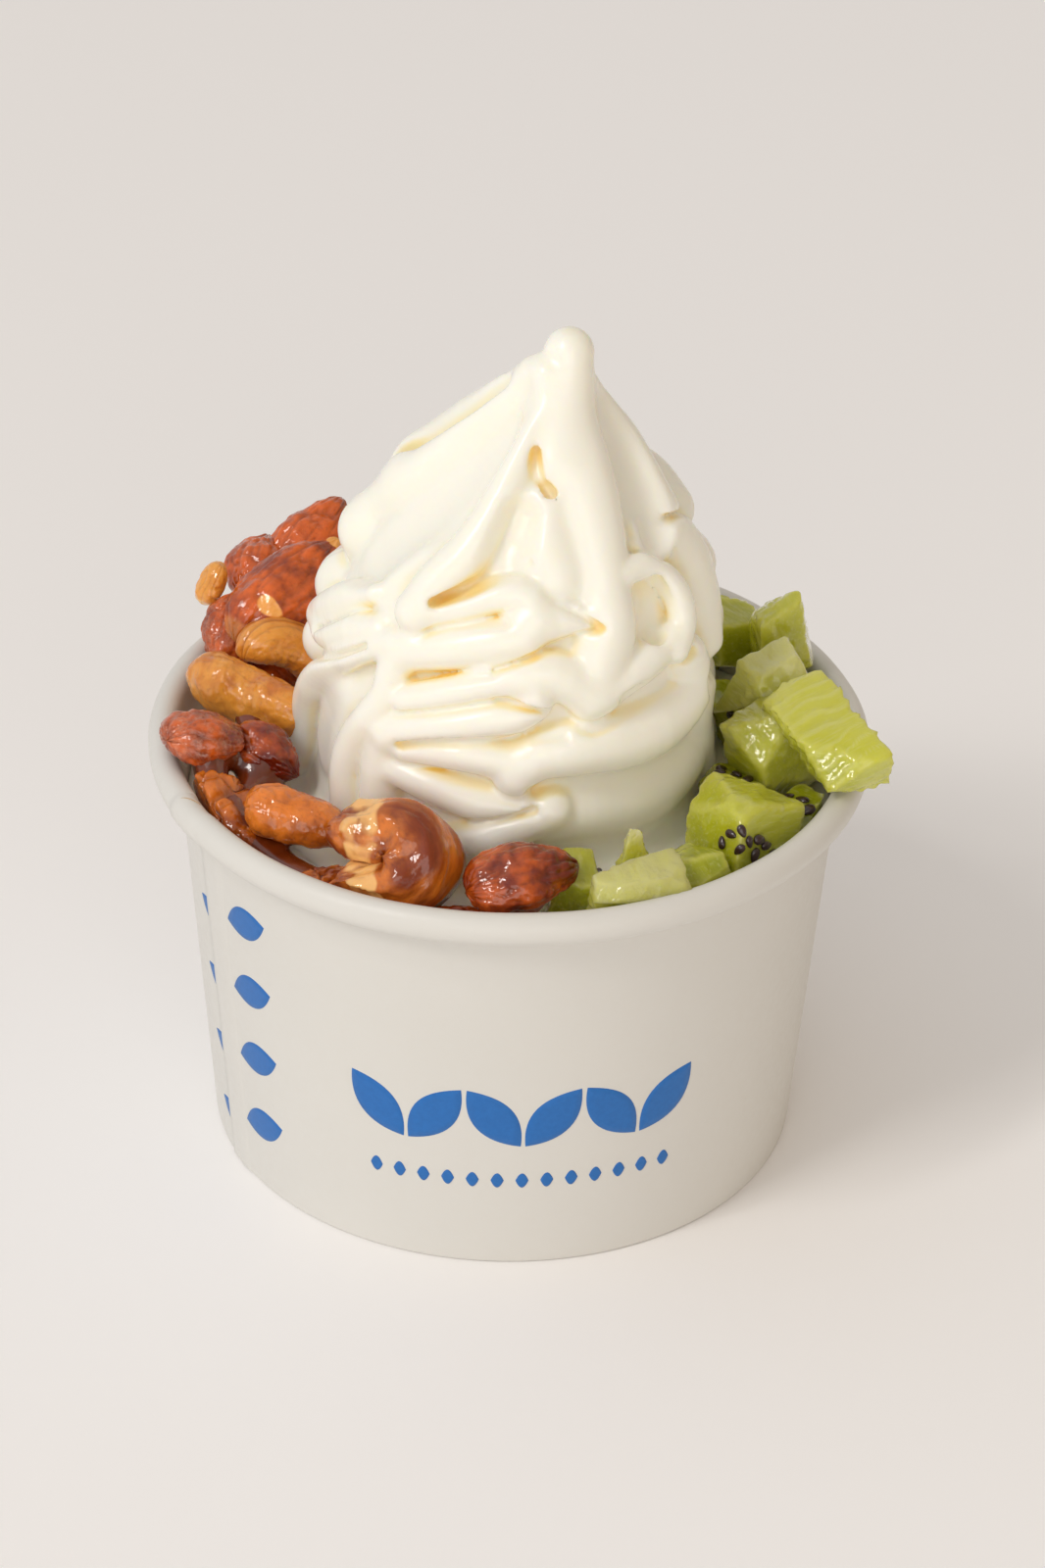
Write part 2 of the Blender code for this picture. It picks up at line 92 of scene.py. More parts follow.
def lamp(name, place, size, watts, colour):
    """A square lamp at a place, facing the middle of the swirl."""
    data = bpy.data.lights.new(name, "AREA")
    data.shape = "SQUARE"
    data.size = size
    data.energy = watts
    data.color = colour[:3]
    made = bpy.data.objects.new(name, data)
    place = Vector(place)
    facing = (Vector((0.0, 0.0, 0.06)) - place).to_track_quat("-Z", "Y").to_matrix().to_4x4()
    made.matrix_world = Matrix.Translation(place) @ facing
    bpy.context.scene.collection.objects.link(made)
    return made


lamp("key", (-1.84, -1.68, 2.40), KEY_SIZE, 25.5, shade(255, 251, 246))
lamp("sparkle", (-0.50, -0.40, 0.95), SPARKLE_SIZE, 1.0, shade(255, 252, 248))
lamp("fill", (0.05, -1.15, 0.32), FILL_SIZE, 3.1, shade(255, 251, 247))

sky = bpy.data.worlds.new("sky")
sky.use_nodes = True
across = sky.node_tree.nodes.new("ShaderNodeSeparateXYZ")
side = sky.node_tree.nodes.new("ShaderNodeMapRange")
tint = sky.node_tree.nodes.new("ShaderNodeMix")
tint.data_type = "RGBA"
side.inputs["From Min"].default_value = -0.3
tint.inputs[6].default_value = shade(247, 247, 248)
tint.inputs[7].default_value = shade(202, 178, 144)
for out_of, into in (
        (sky.node_tree.nodes.new("ShaderNodeTexCoord").outputs["Generated"], across.inputs[0]),
        (across.outputs["X"], side.inputs["Value"]),
        (side.outputs[0], tint.inputs[0]),
        (tint.outputs[2], sky.node_tree.nodes["Background"].inputs["Color"])):
    sky.node_tree.links.new(out_of, into)
sky.node_tree.nodes["Background"].inputs["Strength"].default_value = 0.70
bpy.context.scene.world = sky
bpy.context.scene.view_settings.view_transform = "Standard"
print("lamps:", [light.name for light in bpy.data.lights])


# %% [markdown]
# ## Short calls for materials and meshes
# A material is a tree of nodes, and writing every node and link out is long. A small class keeps
# each finish to a few lines that read like the recipe. A mesh is an array of points and an array of
# triangles; two helpers make the triangles of a grid that closes on itself, and put them into Blender.

# %% Material helper
class Finish:
    """A Principled material, with short calls that add nodes and join them."""

    def __init__(self, name, **values):
        self.material = bpy.data.materials.new(name)
        self.material.use_nodes = True
        self.tree = self.material.node_tree
        self.shader = self.tree.nodes["Principled BSDF"]
        self.place = self.node("ShaderNodeTexCoord").outputs["Object"]
        self.set(**values)

    def node(self, kind, inputs=None, **settings):
        made = self.tree.nodes.new(kind)
        for name, value in settings.items():
            setattr(made, name, value)
        for name, value in (inputs or {}).items():
            self.fill(made.inputs[name], value)
        return made

    def fill(self, socket, value):
        if isinstance(value, bpy.types.NodeSocket):
            self.tree.links.new(value, socket)
        else:
            socket.default_value = value

    def set(self, **values):
        """Sets the shader's sockets: Base_Color stands for Base Color."""
        for name, value in values.items():
            self.fill(self.shader.inputs[name.replace("_", " ")], value)

    def attribute(self, name):
        return self.node("ShaderNodeAttribute", attribute_name=name).outputs["Fac"]

    def noise(self, per_metre, detail=3.0, roughness=0.5):
        inputs = {"Vector": self.place, "Scale": per_metre, "Detail": detail, "Roughness": roughness}
        return self.node("ShaderNodeTexNoise", inputs).outputs["Fac"]

    def between(self, value, low, high, low_gives=0.0, high_gives=1.0):
        """The first result below the low value, the second above the high one, smooth between them."""
        inputs = {"Value": value, "From Min": low, "From Max": high}
        made = self.node("ShaderNodeMapRange", inputs, interpolation_type="SMOOTHSTEP")
        self.fill(made.inputs["To Min"], low_gives)
        self.fill(made.inputs["To Max"], high_gives)
        return made.outputs[0]

    def mix(self, share, first, second):
        made = self.node("ShaderNodeMix", data_type="RGBA")
        for index, value in ((0, share), (6, first), (7, second)):
            self.fill(made.inputs[index], value)
        return made.outputs[2]

    def math(self, operation, *values):
        made = self.node("ShaderNodeMath", operation=operation)
        for socket, value in zip(made.inputs, values):
            self.fill(socket, value)
        return made.outputs[0]

    def bump(self, height, depth, strength=1.0, under=None):
        """Relief that deep, in metres, from a height of 0 to 1."""
        inputs = {"Height": height, "Distance": depth, "Strength": strength}
        if under:
            inputs["Normal"] = under
        return self.node("ShaderNodeBump", inputs).outputs["Normal"]


# %% Mesh helpers
def piece_from(name, points, faces, material, slot, replaced=(), **attributes):
    """A smooth piece at the origin from points in metres and triangles that point outwards."""
    corners = points[faces]
    volume = np.einsum("ij,ij->i", corners[:, 0], np.cross(corners[:, 1], corners[:, 2])).sum()
    if volume < 0.0:
        faces = faces[:, ::-1]
    mesh = bpy.data.meshes.new(name)
    mesh.vertices.add(len(points))
    mesh.vertices.foreach_set("co", np.ascontiguousarray(points, np.float32).ravel())
    mesh.loops.add(faces.size)
    mesh.loops.foreach_set("vertex_index", np.ascontiguousarray(faces, np.int32).ravel())
    mesh.polygons.add(len(faces))
    mesh.polygons.foreach_set("loop_start", np.arange(0, faces.size, 3, dtype=np.int32))
    mesh.update(calc_edges=True)
    mesh.shade_smooth()
    for key, values in attributes.items():
        values = np.ascontiguousarray(values, np.float32)
        layer = mesh.attributes.new(key, "FLOAT" if values.ndim == 1 else "FLOAT_VECTOR", "POINT")
        layer.data.foreach_set("value" if values.ndim == 1 else "vector", values.ravel())
    mesh.materials.append(material)
    made = bpy.data.objects.new(name, mesh)
    bpy.context.scene.collection.objects.link(made)
    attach(made, "root")
    if replaced:
        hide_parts(*replaced)
    return made


def capped_rows(rows, columns):
    """Triangles of a grid that closes round its columns, with a single point at each end of its rows.

    Point 0 is the first pole, then come rows x columns points, and the last point is the other pole.
    """
    row, column = np.meshgrid(np.arange(rows - 1), np.arange(columns), indexing="ij")
    following = (column + 1) % columns
    a, b = 1 + row * columns + column, 1 + row * columns + following
    c, d = b + columns, a + columns
    sides = np.concatenate([np.stack([a, b, c], -1), np.stack([a, c, d], -1)]).reshape(-1, 3)
    ring = np.arange(columns)
    after = (ring + 1) % columns
    last = rows * columns + 1
    first_cap = np.stack([np.zeros_like(ring), 1 + after, 1 + ring], -1)
    last_cap = np.stack([np.full_like(ring, last), last - columns + ring, last - columns + after], -1)
    return np.concatenate([sides, first_cap, last_cap])


def capped_grid(rows, columns):
    """The two parameters of such a grid: along, from -1 to 1, and round, from 0 to a full turn."""
    along = -np.cos(np.linspace(0.0, np.pi, rows + 2)[1:-1])
    around = np.linspace(0.0, 2.0 * np.pi, columns, endpoint=False)
    along, around = np.meshgrid(along, around, indexing="ij")
    along = np.concatenate([[-1.0], along.ravel(), [1.0]])
    around = np.concatenate([[0.0], around.ravel(), [0.0]])
    return along, around


def joined(parts):
    """Several (points, faces) as one."""
    starts = np.cumsum([0] + [len(points) for points, _ in parts[:-1]])
    points = np.concatenate([points for points, _ in parts])
    return points, np.concatenate([faces + start for (_, faces), start in zip(parts, starts)])


# %% Uneven surfaces
def smooth_step(value, low, high):
    """0 below low, 1 above high, and an S curve between them."""
    share = np.clip((value - low) / (high - low), 0.0, 1.0)
    return share * share * (3.0 - 2.0 * share)


def unevenness(points, per_unit, seed):
    """Smooth noise from -1 to 1: chance values on a cubic lattice, blended along S curves between them."""
    scaled = np.asarray(points, float) * per_unit
    corner = np.floor(scaled).astype(np.int64)
    share = scaled - corner
    share = share * share * (3.0 - 2.0 * share)
    total = np.zeros(len(scaled))
    for step in np.ndindex(2, 2, 2):
        at = corner + np.array(step)
        mixed = at[:, 0] * 73856093 ^ at[:, 1] * 19349663 ^ at[:, 2] * 83492791 ^ (seed + 1) * 40503
        mixed = (mixed ^ (mixed >> 13)) * 1274126177 & 0x7FFFFFFF
        mixed = (mixed ^ (mixed >> 16)) & 0xFFFF
        weight = np.prod(np.where(np.array(step) == 1, share, 1.0 - share), axis=1)
        total += weight * (mixed / 32767.5 - 1.0)
    return total


# %% [markdown]
# ## The floor
# The cup stands on a plain pale table. It is only a stage, so it is one large sheet with a faint
# cloudiness that keeps it from looking like paper.

# %% Floor
FLOOR_HALF = 3.0

floor_finish = Finish("pale_floor", Roughness=0.55)
cloud = floor_finish.noise(3.0, 2.0)
floor_finish.set(Base_Color=floor_finish.mix(cloud, shade(249, 247, 246), shade(252, 250, 249)))
floor_mesh = bpy.data.meshes.new("floor")
floor_mesh.from_pydata(
    [(-FLOOR_HALF, -FLOOR_HALF, 0), (FLOOR_HALF, -FLOOR_HALF, 0), (FLOOR_HALF, FLOOR_HALF, 0),
     (-FLOOR_HALF, FLOOR_HALF, 0)], [], [(0, 1, 2, 3)])
floor_mesh.materials.append(floor_finish.material)
floor = bpy.data.objects.new("floor", floor_mesh)
bpy.context.scene.collection.objects.link(floor)

# %% [markdown]
# ## The paper cup
# A cup like this is one sheet of coated card rolled into a cone, with a lapped seam, a floor crimped
# in above its foot and the top edge rolled outwards into a bead. The whole of it is one outline
# turned about the upright axis, so it is made as a grid of outline points by turns. The lap is a step
# of the card's thickness in the radius, and rolled rims are never quite even, so a small wave
# is added to the bead.

# %% Cup sizes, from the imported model
cup_low, cup_high = (np.array(corner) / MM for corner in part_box("cup"))
RIM_RADIUS = float(cup_high[0])
CUP_HEIGHT = float(cup_high[2])
BEAD = (1.9, 2.15)
PAPER = 0.5
FOOT_RADIUS = 39.0
WALL_TOP_RADIUS = 43.6
FOOT_RING = 1.3
FLOOR_RECESS = 3.5
FLOOR_PAPER = 0.6
print(f"cup {2 * RIM_RADIUS:.1f} mm across its rim and {CUP_HEIGHT:.1f} mm high")


def wall_radius(height):
    """Outside radius of the card at a height, on a straight cone from the foot to under the bead."""
    return FOOT_RADIUS + (WALL_TOP_RADIUS - FOOT_RADIUS) * height / (CUP_HEIGHT - 2.0 * BEAD[1])


# %% Cup outline
def arc(middle, radii, start, end, steps):
    """Points on an ellipse from one angle to another, in degrees."""
    angle = np.radians(np.linspace(start, end, steps))
    return np.stack([middle[0] + radii[0] * np.cos(angle), middle[1] + radii[1] * np.sin(angle)], -1)


def straight(start, end, steps):
    """Points from start to end, without the end itself."""
    share = np.linspace(0.0, 1.0, steps, endpoint=False)[:, None]
    return np.array(start) * (1.0 - share) + np.array(end) * share


def cup_outline():
    """Radius and height from the middle of the floor's underside, up the outside and down the inside."""
    bead_middle = (RIM_RADIUS - BEAD[0], CUP_HEIGHT - BEAD[1])
    bead = arc(bead_middle, BEAD, -128.0, 176.0, 40)
    inner_foot = FOOT_RADIUS - FOOT_RING
    floor_top = FLOOR_RECESS + FLOOR_PAPER
    corner = 0.45
    inside_top = bead[-1, 1] - 1.0
    return np.concatenate([
        straight((2.0, FLOOR_RECESS), (inner_foot - 0.3, FLOOR_RECESS), 12),
        straight((inner_foot, FLOOR_RECESS - 0.3), (inner_foot, corner), 5),
        arc((inner_foot + corner, corner), (corner, corner), 180.0, 270.0, 6),
        arc((FOOT_RADIUS - corner, corner), (corner, corner), 270.0, 360.0, 6),
        straight((wall_radius(0.8), 0.8), (wall_radius(bead[0, 1] - 0.4), bead[0, 1] - 0.4), 44),
        bead,
        straight((wall_radius(inside_top) - PAPER, inside_top),
                 (wall_radius(floor_top + 0.6) - PAPER, floor_top + 0.6), 44),
        straight((wall_radius(floor_top) - PAPER - 0.6, floor_top), (2.0, floor_top), 12),
    ])


# %% Turn the outline
SEAM_TURN = -66.0
SEAM_LAP = 8.0
SEAM_STEP = 0.22
CUP_COLUMNS = 240


def build_cup():
    """The outline turned about z; the lap adds its step to the outside radius over a few degrees."""
    outline = cup_outline()
    edges = np.array([SEAM_TURN, SEAM_TURN + SEAM_LAP])
    fine = np.concatenate([edges - 0.12, edges - 0.02, edges + 0.02, edges + 0.12])
    turn = np.unique(np.concatenate([np.linspace(-180.0, 180.0, CUP_COLUMNS, endpoint=False), fine]))
    radius, around = np.meshgrid(outline[:, 0], turn, indexing="ij")
    height = np.broadcast_to(outline[:, 1:2], radius.shape)
    on_lap = smooth_step(around, edges[0] - 0.06, edges[0] + 0.06)
    on_lap = on_lap * (1.0 - smooth_step(around, edges[1] - 1.5, edges[1] + 0.1))
    outer = (radius > wall_radius(height) - 0.25 * PAPER) & (radius > FOOT_RADIUS - 0.1)
    angle = np.radians(around)
    on_bead = smooth_step(height, CUP_HEIGHT - 5.0, CUP_HEIGHT - 3.0)
    wave = 0.10 * np.sin(3.0 * angle + 0.6) + 0.06 * np.sin(7.0 * angle + 2.0)
    wave = wave + 0.03 * np.sin(19.0 * angle)
    radius = radius + SEAM_STEP * on_lap * outer + on_bead * 0.5 * wave
    height = height + on_bead * wave
    points = np.stack([radius * np.sin(angle), -radius * np.cos(angle), height], -1)
    points = np.concatenate([
        [(0.0, 0.0, FLOOR_RECESS)], points.reshape(-1, 3), [(0.0, 0.0, FLOOR_RECESS + FLOOR_PAPER)]])
    return points * MM, capped_rows(len(outline), len(turn))


# %% [markdown]
# ### Coated card
# The card is a warm white with a thin gloss coat. Very fine fibres and the press rollers leave a
# soft mottle, so the roughness varies a little and a slight bump breaks up the reflections.

# %% Card finish
card = Finish("cup_paper", Specular_IOR_Level=0.45)
mottle = card.noise(900.0, 4.0, 0.6)
drift = card.noise(30.0, 2.0)
card_colour = card.mix(drift, shade(216, 214, 208), shade(223, 221, 215))
card.set(Base_Color=card.mix(card.math("MULTIPLY", mottle, 0.25), card_colour, shade(218, 211, 200)))
card.set(Roughness=card.between(mottle, 0.3, 0.7, 0.36, 0.50))
fibres = card.noise(2600.0, 5.0, 0.65)
dents = card.noise(60.0, 2.0)
card.set(Normal=card.bump(fibres, 0.00003, 0.35, card.bump(dents, 0.0004, 0.25)))

cup_points, cup_faces = build_cup()
cup = piece_from("paper_cup", cup_points, cup_faces, card.material, "cup_paper", ("cup",))
print("cup:", len(cup_faces), "triangles")

# %% [markdown]
# ## The rim's seam edge
# Where the lapped card is rolled into the bead, the cut edge of the outer layer shows as a thin
# brown line that crosses the roll. It is a hair-thin tube carried along a short curve on the bead.

# %% Tube helper
def tube(route, radius, sides=8):
    """A closed tube of a radius along a route of points: a ring across the route at each point."""
    ahead = np.gradient(route, axis=0)
    ahead /= np.linalg.norm(ahead, axis=1, keepdims=True)
    across = np.cross(ahead, (0.0, 0.0, 1.0))
    across /= np.linalg.norm(across, axis=1, keepdims=True)
    above = np.cross(across, ahead)
    angle = np.linspace(0.0, 2.0 * np.pi, sides, endpoint=False)
    radius = np.broadcast_to(radius, len(route))[:, None, None]
    ring = np.cos(angle)[None, :, None] * across[:, None] + np.sin(angle)[None, :, None] * above[:, None]
    points = (route[:, None] + radius * ring).reshape(-1, 3)
    return np.concatenate([route[:1], points, route[-1:]]), capped_rows(len(route), sides)


# %% Seam edge
SEAM_EDGE_RADIUS = 0.11


def on_bead(turn, angle, proud=0.0):
    """Points on the bead: the turn about the cup, and the angle about the bead's own middle."""
    turn, angle = np.radians(turn), np.radians(angle)
    radius = RIM_RADIUS - BEAD[0] + (BEAD[0] + proud) * np.cos(angle)
    height = CUP_HEIGHT - BEAD[1] + (BEAD[1] + proud) * np.sin(angle)
    return np.stack([radius * np.sin(turn), -radius * np.cos(turn), height], -1)


along_edge = np.linspace(0.0, 1.0, 24)
edge_route = on_bead(SEAM_TURN + 4.0 - 3.2 * np.sin(np.pi * along_edge), 118.0 - 150.0 * along_edge, -0.03)
edge_points, edge_faces = tube(edge_route, SEAM_EDGE_RADIUS * np.sin(np.pi * (0.06 + 0.88 * along_edge)) ** 0.5)
seam_finish = Finish("raw_card_edge", Roughness=0.7)
seam_finish.set(Base_Color=seam_finish.mix(
    seam_finish.noise(1500.0), shade(176, 140, 98), shade(214, 190, 158)))
piece_from("rim_seam_edge", edge_points * MM, edge_faces, seam_finish.material, "cup_paper")

# %% [markdown]
# ## The printed shapes
# The card carries a plain pattern in one blue ink: a row of slanting leaves in front with a line of
# dots under it, and a column of leaves at the side. Ink has hardly any thickness, so each shape is a
# very thin closed lens that lies on the cone. A shape is worked out flat, as distances along and up
# the wall, and then wrapped: the distance along, over the radius there, is the turn.

# %% Wrapped shapes
INK = 0.05
INK_UNDER = 0.10


def leaf_outline(length, width, angle):
    """How far a leaf reaches in a direction: two arcs that meet in points, slanted by an angle."""
    around = np.linspace(0.0, 2.0 * np.pi, 48, endpoint=False)
    along = 0.5 * length * np.cos(around)
    across = 0.5 * width * np.sin(around) * np.abs(np.sin(around))
    slant = math.radians(angle)
    return np.stack([along * math.cos(slant) - across * math.sin(slant),
                     along * math.sin(slant) + across * math.cos(slant)], -1)


def printed(outline, turn, height):
    """A shape's rings from its middle to its edge, and back under it, wrapped on the wall."""
    share = np.array([0.35, 0.7, 0.985, 1.0, 0.985, 0.7])[:, None, None]
    lift = np.array([INK, INK, INK, 0.0, -INK_UNDER, -INK_UNDER])
    flat = share * outline[None]
    up = height + flat[..., 1]
    radius = wall_radius(up) + lift[:, None]
    angle = math.radians(turn) + flat[..., 0] / wall_radius(up)
    rings = np.stack([radius * np.sin(angle), -radius * np.cos(angle), up], -1).reshape(-1, 3)
    middle = [(r * math.sin(math.radians(turn)), -r * math.cos(math.radians(turn)), height)
              for r in (wall_radius(height) + INK, wall_radius(height) - INK_UNDER)]
    points = np.concatenate([middle[:1], rings, middle[1:]])
    return points, capped_rows(len(share), len(outline))


# %% Print the pattern
LEAF_ROW = dict(middle_turn=4.0, height=24.5, count=6, pitch=10.8)
prints = []
for index in range(LEAF_ROW["count"]):
    turn = LEAF_ROW["middle_turn"] + (index - (LEAF_ROW["count"] - 1) / 2) * LEAF_ROW["pitch"]
    slant = 52.0 if index % 2 else 128.0
    prints.append(printed(leaf_outline(11.5, 5.6, slant), turn, LEAF_ROW["height"]))
for index in range(13):
    turn = LEAF_ROW["middle_turn"] + (index - 6) * 4.6
    prints.append(printed(leaf_outline(1.7, 2.4, 0.0), turn, 14.2))
for index in range(4):
    height = 44.0 - 11.0 * index
    prints.append(printed(leaf_outline(9.0, 4.8, 20.0), -52.0, height))
    prints.append(printed(leaf_outline(7.0, 3.4, -20.0), -65.0, height - 4.0))
ink = Finish("print_ink", Roughness=0.42)
ink_mottle = ink.noise(1400.0, 3.0)
ink.set(Base_Color=ink.mix(ink_mottle, shade(12, 96, 172), shade(24, 112, 190)))
ink.set(Normal=ink.bump(ink.noise(2600.0, 4.0), 0.00002, 0.3))
print_points, print_faces = joined(prints)
piece_from("printed_shapes", print_points * MM, print_faces, ink.material, "print_ink")
print("print:", len(prints), "shapes")

# %% [markdown]
# ## The yogurt
# Soft-served yogurt leaves a star-shaped nozzle as a fluted rope, and it folds over itself as it is
# laid down, so the swirl is ropes, flaps and pleats that have sunk into each other. Meshes that are
# pushed together show hard lines, and a voxel remesh loses the fine slits. Here the shape is a field
# on a grid of small cells that says how far each cell is from the surface: ropes are joined to it
# with a soft minimum, grooves are taken out of it, and the surface where the field is zero is then
# turned into a mesh. Any blend from a crisp slit to a soft hollow is one number.

# %% Places on the swirl
SWIRL_PROFILE = np.array((
    (44.0, 31.0), (50.0, 29.3), (56.0, 27.7), (64.0, 27.4), (72.0, 27.5), (80.0, 25.5), (86.0, 23.3),
    (92.0, 19.5), (98.0, 15.0), (104.0, 9.7), (110.0, 5.3), (114.0, 4.0), (116.5, 2.4), (117.2, 0.6)))
SWIRL_LEAN = np.array((
    (44.0, -0.4), (64.0, -0.4), (80.0, 1.1), (96.0, 2.2), (110.0, 4.6), (117.2, 6.6)))


def swirl_radius(height):
    """Distance from the swirl's middle to its outermost folds."""
    return np.interp(height, SWIRL_PROFILE[:, 0], SWIRL_PROFILE[:, 1])


def swirl_lean(height):
    """How far the swirl's middle lies towards +X."""
    return np.interp(height, SWIRL_LEAN[:, 0], SWIRL_LEAN[:, 1])


def on_swirl(places, proud):
    """Points for (turn, height) places, this far out from the outermost folds."""
    places = np.asarray(places, float)
    turn = np.radians(places[:, 0])
    radius = swirl_radius(places[:, 1]) + proud
    return np.stack([swirl_lean(places[:, 1]) + radius * np.sin(turn), -radius * np.cos(turn),
                     places[:, 1]], -1)


def smooth_route(points, step):
    """A Catmull-Rom curve: each stretch is a cubic whose slopes point from one neighbour to the next."""
    points = np.asarray(points, float)
    if len(points) == 1:
        return np.repeat(points, 2, axis=0) + np.array([[0.0], [0.01]])
    ends = np.concatenate([2 * points[:1] - points[1:2], points, 2 * points[-1:] - points[-2:-1]])
    route = []
    for a, b, c, d in zip(ends, ends[1:], ends[2:], ends[3:]):
        pieces = max(2, round(np.linalg.norm((c - b)[:3]) / step))
        t = np.linspace(0.0, 1.0, pieces, endpoint=False)[:, None]
        route.append(0.5 * (2 * b + (c - a) * t + (2 * a - 5 * b + 4 * c - d) * t**2
                            + (3 * b - 3 * c + d - a) * t**3))
    return np.concatenate([*route, points[-1:]])


# %% The field
class Clay:
    """A field of distances on a grid of cells: below zero inside the yogurt, above zero outside."""

    def __init__(self, low, high, cell):
        self.low, self.cell = np.array(low, float), cell
        self.count = np.ceil((np.array(high) - self.low) / cell).astype(int) + 1
        self.axes = [self.low[i] + cell * np.arange(self.count[i]) for i in range(3)]
        self.far = np.full(self.count, 9.0, np.float32)

    def window(self, low, high):
        """The slices of the grid between two corners."""
        first = np.clip(np.floor((low - self.low) / self.cell).astype(int), 0, self.count - 1)
        last = np.clip(np.ceil((high - self.low) / self.cell).astype(int) + 1, 1, self.count)
        return tuple(slice(a, b) for a, b in zip(first, last))

    def rope(self, route, radii, margin):
        """Distance to a chain of round cones along the route, and the window of cells that it reaches."""
        radii = np.interp(np.linspace(0, 1, len(route)), np.linspace(0, 1, len(radii)), radii)
        reach = radii.max() + margin
        whole = self.window(route.min(0) - reach, route.max(0) + reach)
        shape = [part.stop - part.start for part in whole]
        nearest = np.full(shape, 9.0, np.float32)
        for a, b, ra, rb in zip(route, route[1:], radii, radii[1:]):
            reach = max(ra, rb) + margin
            part = self.window(np.minimum(a, b) - reach, np.maximum(a, b) + reach)
            x, y, z = (self.axes[i][part[i]].astype(np.float32) - np.float32(a[i]) for i in range(3))
            x, y, z = x[:, None, None], y[None, :, None], z[None, None, :]
            line = (b - a).astype(np.float32)
            share = np.clip((x * line[0] + y * line[1] + z * line[2]) / max(line @ line, 1e-9), 0, 1)
            gap = (x - share * line[0]) ** 2 + (y - share * line[1]) ** 2 + (z - share * line[2]) ** 2
            gap = np.sqrt(gap) - (ra + (rb - ra) * share)
            inner = tuple(slice(p.start - w.start, p.stop - w.start) for p, w in zip(part, whole))
            np.minimum(nearest[inner], gap, out=nearest[inner])
        return nearest, whole

    def add(self, nearest, window, blend):
        """Soft minimum: where both are within the blend of each other, the surface swells to join them."""
        old = self.far[window]
        close = np.maximum(blend - np.abs(old - nearest), 0.0) / blend
        self.far[window] = np.minimum(old, nearest) - close * close * blend * 0.25

    def take(self, nearest, window, blend):
        """Soft maximum with the inside of the tool, which takes its shape out."""
        old = self.far[window]
        close = np.maximum(blend - np.abs(old + nearest), 0.0) / blend
        self.far[window] = np.maximum(old, -nearest) + close * close * blend * 0.25

    def add_rope(self, places, radii, blend, sunk=0.8):
        radii = np.atleast_1d(np.asarray(radii, float))
        depth = sunk * np.interp(np.linspace(0, 1, len(places)), np.linspace(0, 1, len(radii)), radii)
        route = smooth_route(on_swirl(places, -depth), 1.6)
        self.add(*self.rope(route, radii, 4.5), blend)

    def take_hollow(self, places, radii, proud, blend):
        route = smooth_route(on_swirl(places, proud), 1.2)
        self.take(*self.rope(route, np.atleast_1d(np.asarray(radii, float)), 2.0 + blend), blend)


# %% From the field to a mesh
def read_field(clay, points):
    """The field at any point, blended from the eight cells round it."""
    scaled = np.clip((points - clay.low) / clay.cell, 0.0, np.array(clay.count) - 1.001)
    corner = scaled.astype(int)
    share = scaled - corner
    total = np.zeros(len(points))
    for step in np.ndindex(2, 2, 2):
        weight = np.prod(np.where(np.array(step) == 1, share, 1.0 - share), axis=1)
        total += weight * clay.far[tuple((corner + step).T)]
    return total


def field_slope(clay, points):
    """The direction away from the surface: differences of the field along each axis."""
    slope = np.stack([read_field(clay, points + step) - read_field(clay, points - step)
                      for step in np.eye(3) * clay.cell], -1)
    return slope / (2.0 * clay.cell)


def net_of(clay):
    """A surface net: one point in each cell that the surface crosses, at the mean of its crossings,
    and a square round each grid line that the surface crosses, cut into two triangles."""
    far = clay.far
    inside = far < 0.0
    corners = list(np.ndindex(2, 2, 2))
    cut = [slice(0, -1), slice(1, None)]
    held = sum(inside[cut[i], cut[j], cut[k]].astype(np.int8) for i, j, k in corners)
    cells = np.argwhere((held > 0) & (held < 8))
    number = np.full(np.array(far.shape) - 1, -1, np.int32)
    number[tuple(cells.T)] = np.arange(len(cells))
    total = np.zeros((len(cells), 3))
    crossings = np.zeros(len(cells))
    for start in corners:
        for axis in range(3):
            if start[axis]:
                continue
            end = np.array(start)
            end[axis] = 1
            near, past = far[tuple((cells + start).T)], far[tuple((cells + end).T)]
            crosses = (near < 0.0) != (past < 0.0)
            share = np.where(crosses, near / np.where(crosses, near - past, 1.0), 0.0)
            total += crosses[:, None] * (np.array(start) + share[:, None] * (end - start))
            crossings += crosses
    points = clay.low + (cells + total / crossings[:, None]) * clay.cell
    squares = []
    for axis in range(3):
        across, up = (axis + 1) % 3, (axis + 2) % 3
        here = [slice(None)] * 3
        there = [slice(None)] * 3
        here[axis], there[axis] = cut
        lines = np.argwhere(inside[tuple(here)] != inside[tuple(there)])
        whole = (lines[:, across] > 0) & (lines[:, up] > 0)
        whole &= (lines[:, across] < far.shape[across] - 1) & (lines[:, up] < far.shape[up] - 1)
        lines = lines[whole]
        ring = []
        for back_across, back_up in ((1, 1), (0, 1), (0, 0), (1, 0)):
            at = lines.copy()
            at[:, across] -= back_across
            at[:, up] -= back_up
            ring.append(number[tuple(at.T)])
        ring = np.stack(ring, -1)
        leaving = inside[tuple(lines.T)]
        squares.append(np.where(leaving[:, None], ring, ring[:, ::-1]))
    squares = np.concatenate(squares)
    return points, np.concatenate([squares[:, [0, 1, 2]], squares[:, [0, 2, 3]]])


